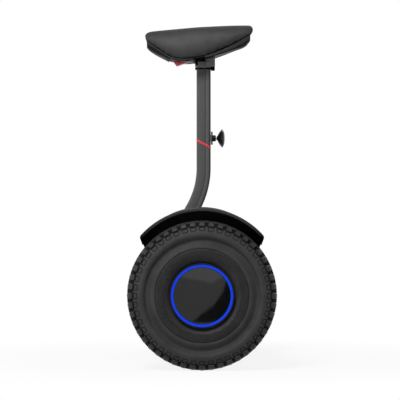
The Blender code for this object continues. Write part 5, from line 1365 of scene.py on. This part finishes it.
def make_post():
    outer, inner, proud = post_section(), post_section(-POST_WALL), post_section(RING_PROUD)
    lower = tube("lower_post", lower_rows(outer), lower_rows(inner), PAINT_SHADED)
    dress(lower, "steering_post", "post_paint", "lower_tube")
    levels = [RING_LOW, RING_LOW + RING_CHAMFER, RING_HIGH - RING_CHAMFER, RING_HIGH]
    sections = [outer, proud, proud, outer]
    outside = [straight_row(section, height, RING_SLOPE) for section, height in zip(sections, levels)]
    inside = [straight_row(inner, height, RING_SLOPE) for height in (RING_LOW, RING_HIGH)]
    dress(tube("red_marker_ring", outside, inside, RED), "steering_post", "signal_red", "marker_ring")
    sleeve = tube("upper_sleeve", sleeve_rows(outer), sleeve_rows(inner), PAINT_SHADED)
    dress(sleeve, "height_sleeve", "post_paint", "sleeve")


make_post()

# %% [markdown]
# ## Clamp knob
# A knob on the rear of the sleeve holds it at its height. It is a satin black mushroom on a thin screw, with
# shallow flutes on its rim for the fingers. It is a lathe shape about its own axis, and the flutes are pressed in
# by moving rim points inwards where a cosine has its valleys.

# %% Knob, neck and flange
CLAMP_HEIGHT, KNOB_NOSE, KNOB_RADIUS = 412, 27.45, 16.9
KNOB_FLUTES, FLUTE_DEPTH, RIM_DEPTH = 18, 0.35, 1.0


def about_x(name, profile, steps, material, flutes=0):
    """A lathe shape about the clamp screw's axis, from (radius, X). Flutes thin it where the radius is large."""
    rows = []
    for step in range(steps):
        angle = math.tau * step / steps
        row = []
        for r, x in profile:
            on_rim = flutes and r > KNOB_RADIUS - RIM_DEPTH
            pressed = FLUTE_DEPTH * (1 - math.cos(angle * flutes)) / 2 if on_rim else 0.0
            reach = (r - pressed) * MM
            row.append((x * MM, reach * math.sin(angle), CLAMP_HEIGHT * MM + reach * math.cos(angle)))
        rows.append(row)
    return shaped(name, *skin(rows, ring=True), material, 40)


KNOB_PROFILE = [(r, KNOB_NOSE + x) for r, x in (
    (0, 15), (5, 14.8), (9, 14.2), (12.5, 13.2), (15, 12), (16.2, 11.1), (16.8, 10.3), (KNOB_RADIUS, 9.6),
    (16.5, 9.0), (15.4, 8.3), (12.5, 5.6), (9, 3.4), (6.6, 2.3), (4.6, 1.4), (3.7, 0.6), (3.4, 0), (2.8, 0),
    (2.8, 8.8), (0, 8.8),
)]
WASHER_PROFILE = [(2.9, 25.1), (5.0, 25.1), (5.2, 25.5), (4.9, 25.9), (2.9, 25.9)]

dress(about_x("knob", KNOB_PROFILE, 144, KNOB, KNOB_FLUTES), "clamp_knob", "gloss_black", "clamp_knob")
bevelled("knob_boss", 0.9, KNOB, "height_sleeve")
dress(about_x("neck_washer", WASHER_PROFILE, 48, KNOB), "height_sleeve", "gloss_black")

# %% [markdown]
# ## Head of the post
# A casting carries the knee rest: a collar round the sleeve's top, a block behind it and a lip in front. Its
# edges are rounded as a die-cast piece has them. Near-black cheeks of painted shadow fill the gap between the lip
# and the block, thin strips of the same painted shadow line the block and run under it, and a band of it paints
# the shadow under the collar. The red lever below the front releases the knee rest.

# %% Bracket, painted shadow cheeks and release lever
bevelled("head_bracket", 0.8, BRACKET, "height_sleeve")
bevelled("pad_latch", 0.7, RED, "pad_latch")

SHADOW_CHEEKS = [((-16.2, 13.15, 553.3), (6.1, 14.9, 561.0))]
SHADOW_LINES = [
    ((5.8, 17.9, 543.8), (6.7, 18.55, 553.4)), ((23.1, 17.2, 544.0), (24.0, 18.12, 562.5)),
    ((17.2, 0.0, 538.0), (23.9, 17.7, 544.2)), ((-12.6, 17.0, 546.4), (-8.0, 18.6, 553.3)),
]


def make_shadow_strips(name, boxes, radius):
    """Near-black strips of painted shadow, each box on one side and mirrored to the other."""
    blocks = []
    for low, high in boxes:
        for low_y, high_y in ((low[1], high[1]), (-high[1], -low[1])):
            rows = rounded_box((low[0], low_y, low[2]), (high[0], high_y, high[2]), radius, 3)
            blocks.append(skin(rows, caps=True))
    dress(shaped(name, *joined(blocks), SHADOW_BLACK, 40), "height_sleeve", "mat_black")


make_shadow_strips("bracket_cheeks", SHADOW_CHEEKS, 0.8)
make_shadow_strips("bracket_seams", SHADOW_LINES, 0.3)

# %% Painted shadow band round the collar
BAND_LOW, BAND_HIGH = 539.4, 541.7
BAND_GROWN, BAND_INSIDE, BAND_FLANK = 2.55, 0.1, 9


def make_collar_shadow_band():
    flank = POST_WIDTH / 2 + BAND_GROWN
    section = [
        (a, math.copysign(flank, b) if -BAND_FLANK < a < BAND_FLANK else b) for a, b in post_section(BAND_GROWN)
    ]
    outside = [straight_row(section, height) for height in (BAND_LOW, BAND_HIGH)]
    inside = [straight_row(post_section(BAND_INSIDE), height) for height in (BAND_LOW, BAND_HIGH)]
    dress(tube("collar_band", outside, inside, SHADOW_BLACK), "height_sleeve", "mat_black")


make_collar_shadow_band()

# %% [markdown]
# ## Knee rest: the shell below
# The knee rest has a hard shell below and a soft cushion above. Both follow the same few lines, read from the
# picture: the top, the seam, the belly and the width at each place along X. A smooth curve goes through each
# line, and a section is drawn across at every station. Under the seam runs a raised band that widens to the rear,
# and below the band the shell is open where the bracket and the lever need room.

# %% Lines of the knee rest
PAD_TOP = [(-105.1, 596.5), (-102.7, 604.4), (-98.6, 608.1), (-91.4, 610), (-48, 613.7),
           (4.3, 617.4), (87.9, 619.3), (92, 615.6), (94.2, 608.5)]
PAD_SEAM = [(-105.1, 592.5), (-101.8, 590), (-73, 570), (-55, 559.5), (-27, 556.3),
            (4, 561.4), (25, 568.2), (60, 584.2), (89.2, 601.5), (94.2, 606)]
PAD_WIDTH = [(-105.1, 16), (-102.7, 24), (-98.6, 29), (-91, 34), (-70, 43), (-40, 51),
             (-10, 53), (25, 47), (60, 37), (85, 28), (92, 23), (94.2, 16)]
PAD_BELLY = [(-101.6, 579), (-97.9, 574.8), (-87.1, 567.4), (-65, 556.2), (-54.7, 552.5),
             (-27.6, 553), (-11.7, 554.6), (28.4, 563.7), (61.8, 574.8), (80.7, 582.2), (89.4, 592)]
BAND_HEIGHT = [(-102, 3), (-10, 3), (20, 4.2), (60, 7), (90, 8)]
BASE_FRONT, BASE_REAR = -101.5, 89.2
OPENINGS = ((-60.5, -22.0), (-10.5, 25.2))


def on_line(line, x):
    """The height or width of a line at x: a smooth curve through the line's points."""
    x = min(max(x, line[0][0]), line[-1][0])
    index = max(i for i in range(len(line) - 1) if line[i][0] <= x)
    (x0, y0), (x1, y1) = line[index], line[index + 1]

    def slope(i):
        before, after = max(i - 1, 0), min(i + 1, len(line) - 1)
        return (line[after][1] - line[before][1]) / (line[after][0] - line[before][0])

    span, t = x1 - x0, (x - x0) / (x1 - x0)
    start = y0 * (1 + 2 * t) * (1 - t) ** 2 + slope(index) * span * t * (1 - t) ** 2
    return start + y1 * t * t * (3 - 2 * t) + slope(index + 1) * span * t * t * (t - 1)


def stations(front, rear, count):
    """Places along X that stand closer together towards both ends."""
    middle, half = (front + rear) / 2, (rear - front) / 2
    return [middle - half * math.cos(math.pi * index / (count - 1)) for index in range(count)]


def crown_under(share, height):
    """How far the cushion's underside is arched over the shell at a share of the width."""
    return min(10.0, height * 0.4) * max(0.0, 1 - (share / 0.92) ** 2)


HULL = [
    (0.985, 0.2), (0.955, 0.36), (0.91, 0.52), (0.85, 0.66), (0.77, 0.79), (0.66, 0.89), (0.5, 0.96), (0.3, 0.99),
    (0.0, 1.0),
]


def shell_row(x, opened):
    """Section of the shell: the arch under the cushion, the raised band, and the hull down to the belly."""
    width = on_line(PAD_WIDTH, x) - 0.5
    seam = on_line(PAD_SEAM, x)
    height = on_line(PAD_TOP, x) - seam
    band = seam - on_line(BAND_HEIGHT, x)
    rim = band - 0.9
    belly = rim - 0.6 if opened else min(on_line(PAD_BELLY, x), rim - 0.6)
    deep = rim - belly
    half = [(share * width, seam + crown_under(share, height)) for share in (0.0, 0.25, 0.5, 0.75)]
    half += [
        (0.94 * width, seam), (width - 1.0, seam - 0.2), (width - 0.3, seam - 0.7),
        (width, seam - (seam - band) * 0.35), (width - 0.15, seam - (seam - band) * 0.65), (width - 0.9, band + 0.3),
        (width - 2.0, band), (width - 2.4, band - 0.4), (width - 2.2, rim), (width - 1.7, rim - min(0.6, deep * 0.4)),
    ]
    half += [((width - 1.7) * share, rim - deep * fall) for share, fall in HULL]
    right = [(x * MM, y * MM, z * MM) for y, z in half]
    left = [(px, -py, pz) for px, py, pz in reversed(right[1:-1])]
    return right + left


def shell_rows():
    """Sections at all stations, and closer ones that step up and down at the ends of each opening."""
    rows = [
        (x, False) for x in stations(BASE_FRONT, BASE_REAR, 72)
        if not any(front - 0.6 < x < rear + 0.6 for front, rear in OPENINGS)
    ]
    for front, rear in OPENINGS:
        inside = [front + (rear - front) * share / 10 for share in range(11)]
        rows += [(front - 0.15, False), (rear + 0.15, False)] + [(x, True) for x in inside]
    return [shell_row(x, opened) for x, opened in sorted(rows)]


print(len(shell_rows()), "sections along the shell")


# %% [markdown]
# ## Knee rest: room for the bracket and the lever
# The bracket and the lever reach up into the shell. Boolean modifiers take three pockets out of it and keep their
# edges crisp. The hull gets painted shade, because the seat above keeps the light away from it, and the notch over
# the bracket is painted black as shadow.

# %% Shell with room for bracket and lever
POCKETS = {
    "room_for_block": ((5.9, -18.4, 533), (24.5, 18.4, 566)),
    "room_for_lip": ((-17, -15.3, 539), (6.3, 15.3, 561.3)),
    "room_for_lever": ((-67, -14.2, 539), (-15.6, 14.2, 570)),
}
BRACKET_NOTCH = (-14, 5.9)
BELLY_SHADE = 0.78


def pocket_in(piece, name, low, high):
    """Take a box-shaped pocket out of a piece."""
    bm = bmesh.new()
    bmesh.ops.create_cube(bm, size=1)
    bmesh.ops.scale(bm, vec=[(b - a) * MM for a, b in zip(low, high)], verts=bm.verts)
    bmesh.ops.translate(bm, vec=[(a + b) / 2 * MM for a, b in zip(low, high)], verts=bm.verts)
    mesh = bpy.data.meshes.new(name)
    bm.to_mesh(mesh)
    bm.free()
    cutter = shown(name, mesh)
    pocket = piece.modifiers.new(name, "BOOLEAN")
    pocket.object = cutter
    pocket.operation = "DIFFERENCE"
    pocket.solver = "EXACT"
    piece.data = applied(piece)
    bpy.data.objects.remove(cutter)


def belly_shade(x, y, z):
    """Painted shade on the hull below the band and on the front end, and painted black shadow in the notch."""
    seam = on_line(PAD_SEAM, x)
    if BRACKET_NOTCH[0] < x < BRACKET_NOTCH[1] and z < seam - 0.2:
        return 1.0
    below = z < seam - on_line(BAND_HEIGHT, x) - 0.6
    return BELLY_SHADE if below or x < BASE_FRONT + 1 else 0.0


def make_pad_shell():
    shell = shaped("pad_shell", *skin(shell_rows(), caps=True), SHELL_SHADED, 40)
    for name, (low, high) in POCKETS.items():
        pocket_in(shell, name, low, high)
    smooth(shell.data, 38)
    mark_painted_shade(shell, belly_shade)
    dress(shell, "height_sleeve", "shell_black", "pad_base")


make_pad_shell()

# %% [markdown]
# ## Knee rest: the cushion
# The cushion is foam under a tight skin. A cloth simulation with some pressure inside swells it between its
# seams as real foam does, starting from a slightly smaller shape, and no point may move further than a few
# millimetres, so that the outline stays the one in the picture. Its section is flat on the crown, rounds over the
# shoulder, is widest a quarter of the way up and draws in again at the seam.

# %% Cushion
CUSHION_SHRINK = 1.2
MOST_SWELL, SWELL_VOXEL, SWELL_FRAMES = 2.4, 3.2, 20
CUSHION_PROUD = 1.6
SHOULDER = [
    (0.975, 0.0), (0.985, 0.06), (0.995, 0.14), (1.0, 0.24), (0.99, 0.35), (0.965, 0.45), (0.925, 0.54),
    (0.875, 0.61), (0.815, 0.685), (0.74, 0.75), (0.66, 0.81), (0.57, 0.87), (0.45, 0.925), (0.32, 0.965),
    (0.16, 0.99),
]


def cushion_row(x, shrink):
    width = on_line(PAD_WIDTH, x) - shrink
    seam = on_line(PAD_SEAM, x) + 0.25
    height = max(on_line(PAD_TOP, x) - shrink - seam, 1.5)
    right = [(x * MM, share * width * MM, (seam + rise * height) * MM) for share, rise in SHOULDER]
    top = [(x * MM, 0.0, (seam + height) * MM)]
    left = [(px, -py, pz) for px, py, pz in reversed(right)]
    under = [
        (x * MM, share * width * MM, (seam + crown_under(share, height)) * MM)
        for share in (-0.8, -0.5, -0.25, 0, 0.25, 0.5, 0.8)
    ]
    return right + top + left + under


# %% [markdown]
# ## Knee rest: swelling the foam
# A voxel remesh gives the cloth even faces. Pressure pushes them out for twenty frames, the move of each point is
# capped, and the result becomes the mesh.

# %% Swelling the foam
def swell(start):
    """Cloth simulation with pressure, then a cap on how far each point has moved."""
    remesh = start.modifiers.new("even_mesh", "REMESH")
    remesh.mode = "VOXEL"
    remesh.voxel_size = SWELL_VOXEL * MM
    even = applied(start)
    start.data = even
    before = np.array([tuple(v.co) for v in even.vertices])
    cloth = start.modifiers.new("swell", "CLOTH")
    cloth.settings.quality = 6
    cloth.settings.use_pressure = True
    cloth.settings.uniform_pressure_force = 4
    cloth.settings.effector_weights.gravity = 0
    cloth.point_cache.frame_start = 1
    cloth.point_cache.frame_end = SWELL_FRAMES
    scene = bpy.context.scene
    for moment in range(1, SWELL_FRAMES + 1):
        scene.frame_set(moment)
    after = np.array([tuple(v.co) for v in applied(start).vertices])
    scene.frame_set(1)
    move = after - before
    length = np.linalg.norm(move, axis=1, keepdims=True)
    move *= np.minimum(1, MOST_SWELL * MM / np.maximum(length, 1e-9))
    for vertex, place in zip(even.vertices, before + move):
        vertex.co = place
    print("cushion:", len(even.vertices), "points, moved", round(float(length.max()) / MM, 2), "mm before the cap")


def fit_to(mesh, low, high):
    """Scale a mesh a little along each axis, so that it fills the box of the solid it stands for."""
    places = np.array([tuple(v.co) for v in mesh.vertices])
    now_low, now_high = places.min(axis=0), places.max(axis=0)
    wanted = np.array(high) - np.array(low)
    places = (places - now_low) / (now_high - now_low) * wanted + np.array(low)
    for vertex, place in zip(mesh.vertices, places):
        vertex.co = place
    print("fitted by", [round(float(v) / MM, 1) for v in wanted - (now_high - now_low)], "mm")


# %% [markdown]
# ## Knee rest: the finished cushion
# The swollen mesh is subdivided once and scaled to the box of its solid, with a little more height, as foam stands
# proud of its shell. Its skin gets painted shade on the crown and at the foot.

# %% The finished cushion
CROWN_SHADE = [0, 8, 20], [0.46, 0.42, 0.0]  # by millimetres below the top
FOOT_SHADE = [0.0, 0.2, 0.5], [0.5, 0.32, 0.0]  # by the share of the height above the seam


def crown_shade(x, y, z):
    """Painted shade: the skin is darker on the crown and towards the seam than on the flanks."""
    top, seam = on_line(PAD_TOP, x) + CUSHION_PROUD, on_line(PAD_SEAM, x)
    crown = np.interp(top - z, *CROWN_SHADE)
    foot = np.interp((z - seam) / max(top - seam, 1.0), *FOOT_SHADE)
    return float(max(crown, foot))


def make_cushion():
    inset = CUSHION_SHRINK
    places = stations(PAD_TOP[0][0] + inset, PAD_TOP[-1][0] - inset, 80)
    rows = [cushion_row(x, inset) for x in places]
    cushion = shaped("knee_cushion", *skin(rows, caps=True), LEATHER_SHADED, 60)
    swell(cushion)
    finer = cushion.modifiers.new("finer", "SUBSURF")
    finer.levels = 1
    finer.render_levels = 1
    cushion.data = applied(cushion)
    low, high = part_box("cushion")
    fit_to(cushion.data, low, (high[0], high[1], high[2] + CUSHION_PROUD * MM))
    cushion.data.shade_smooth()
    cushion.data.materials.clear()
    cushion.data.materials.append(LEATHER_SHADED)
    mark_painted_shade(cushion, crown_shade)
    dress(cushion, "height_sleeve", "cushion_skin", "cushion")


make_cushion()
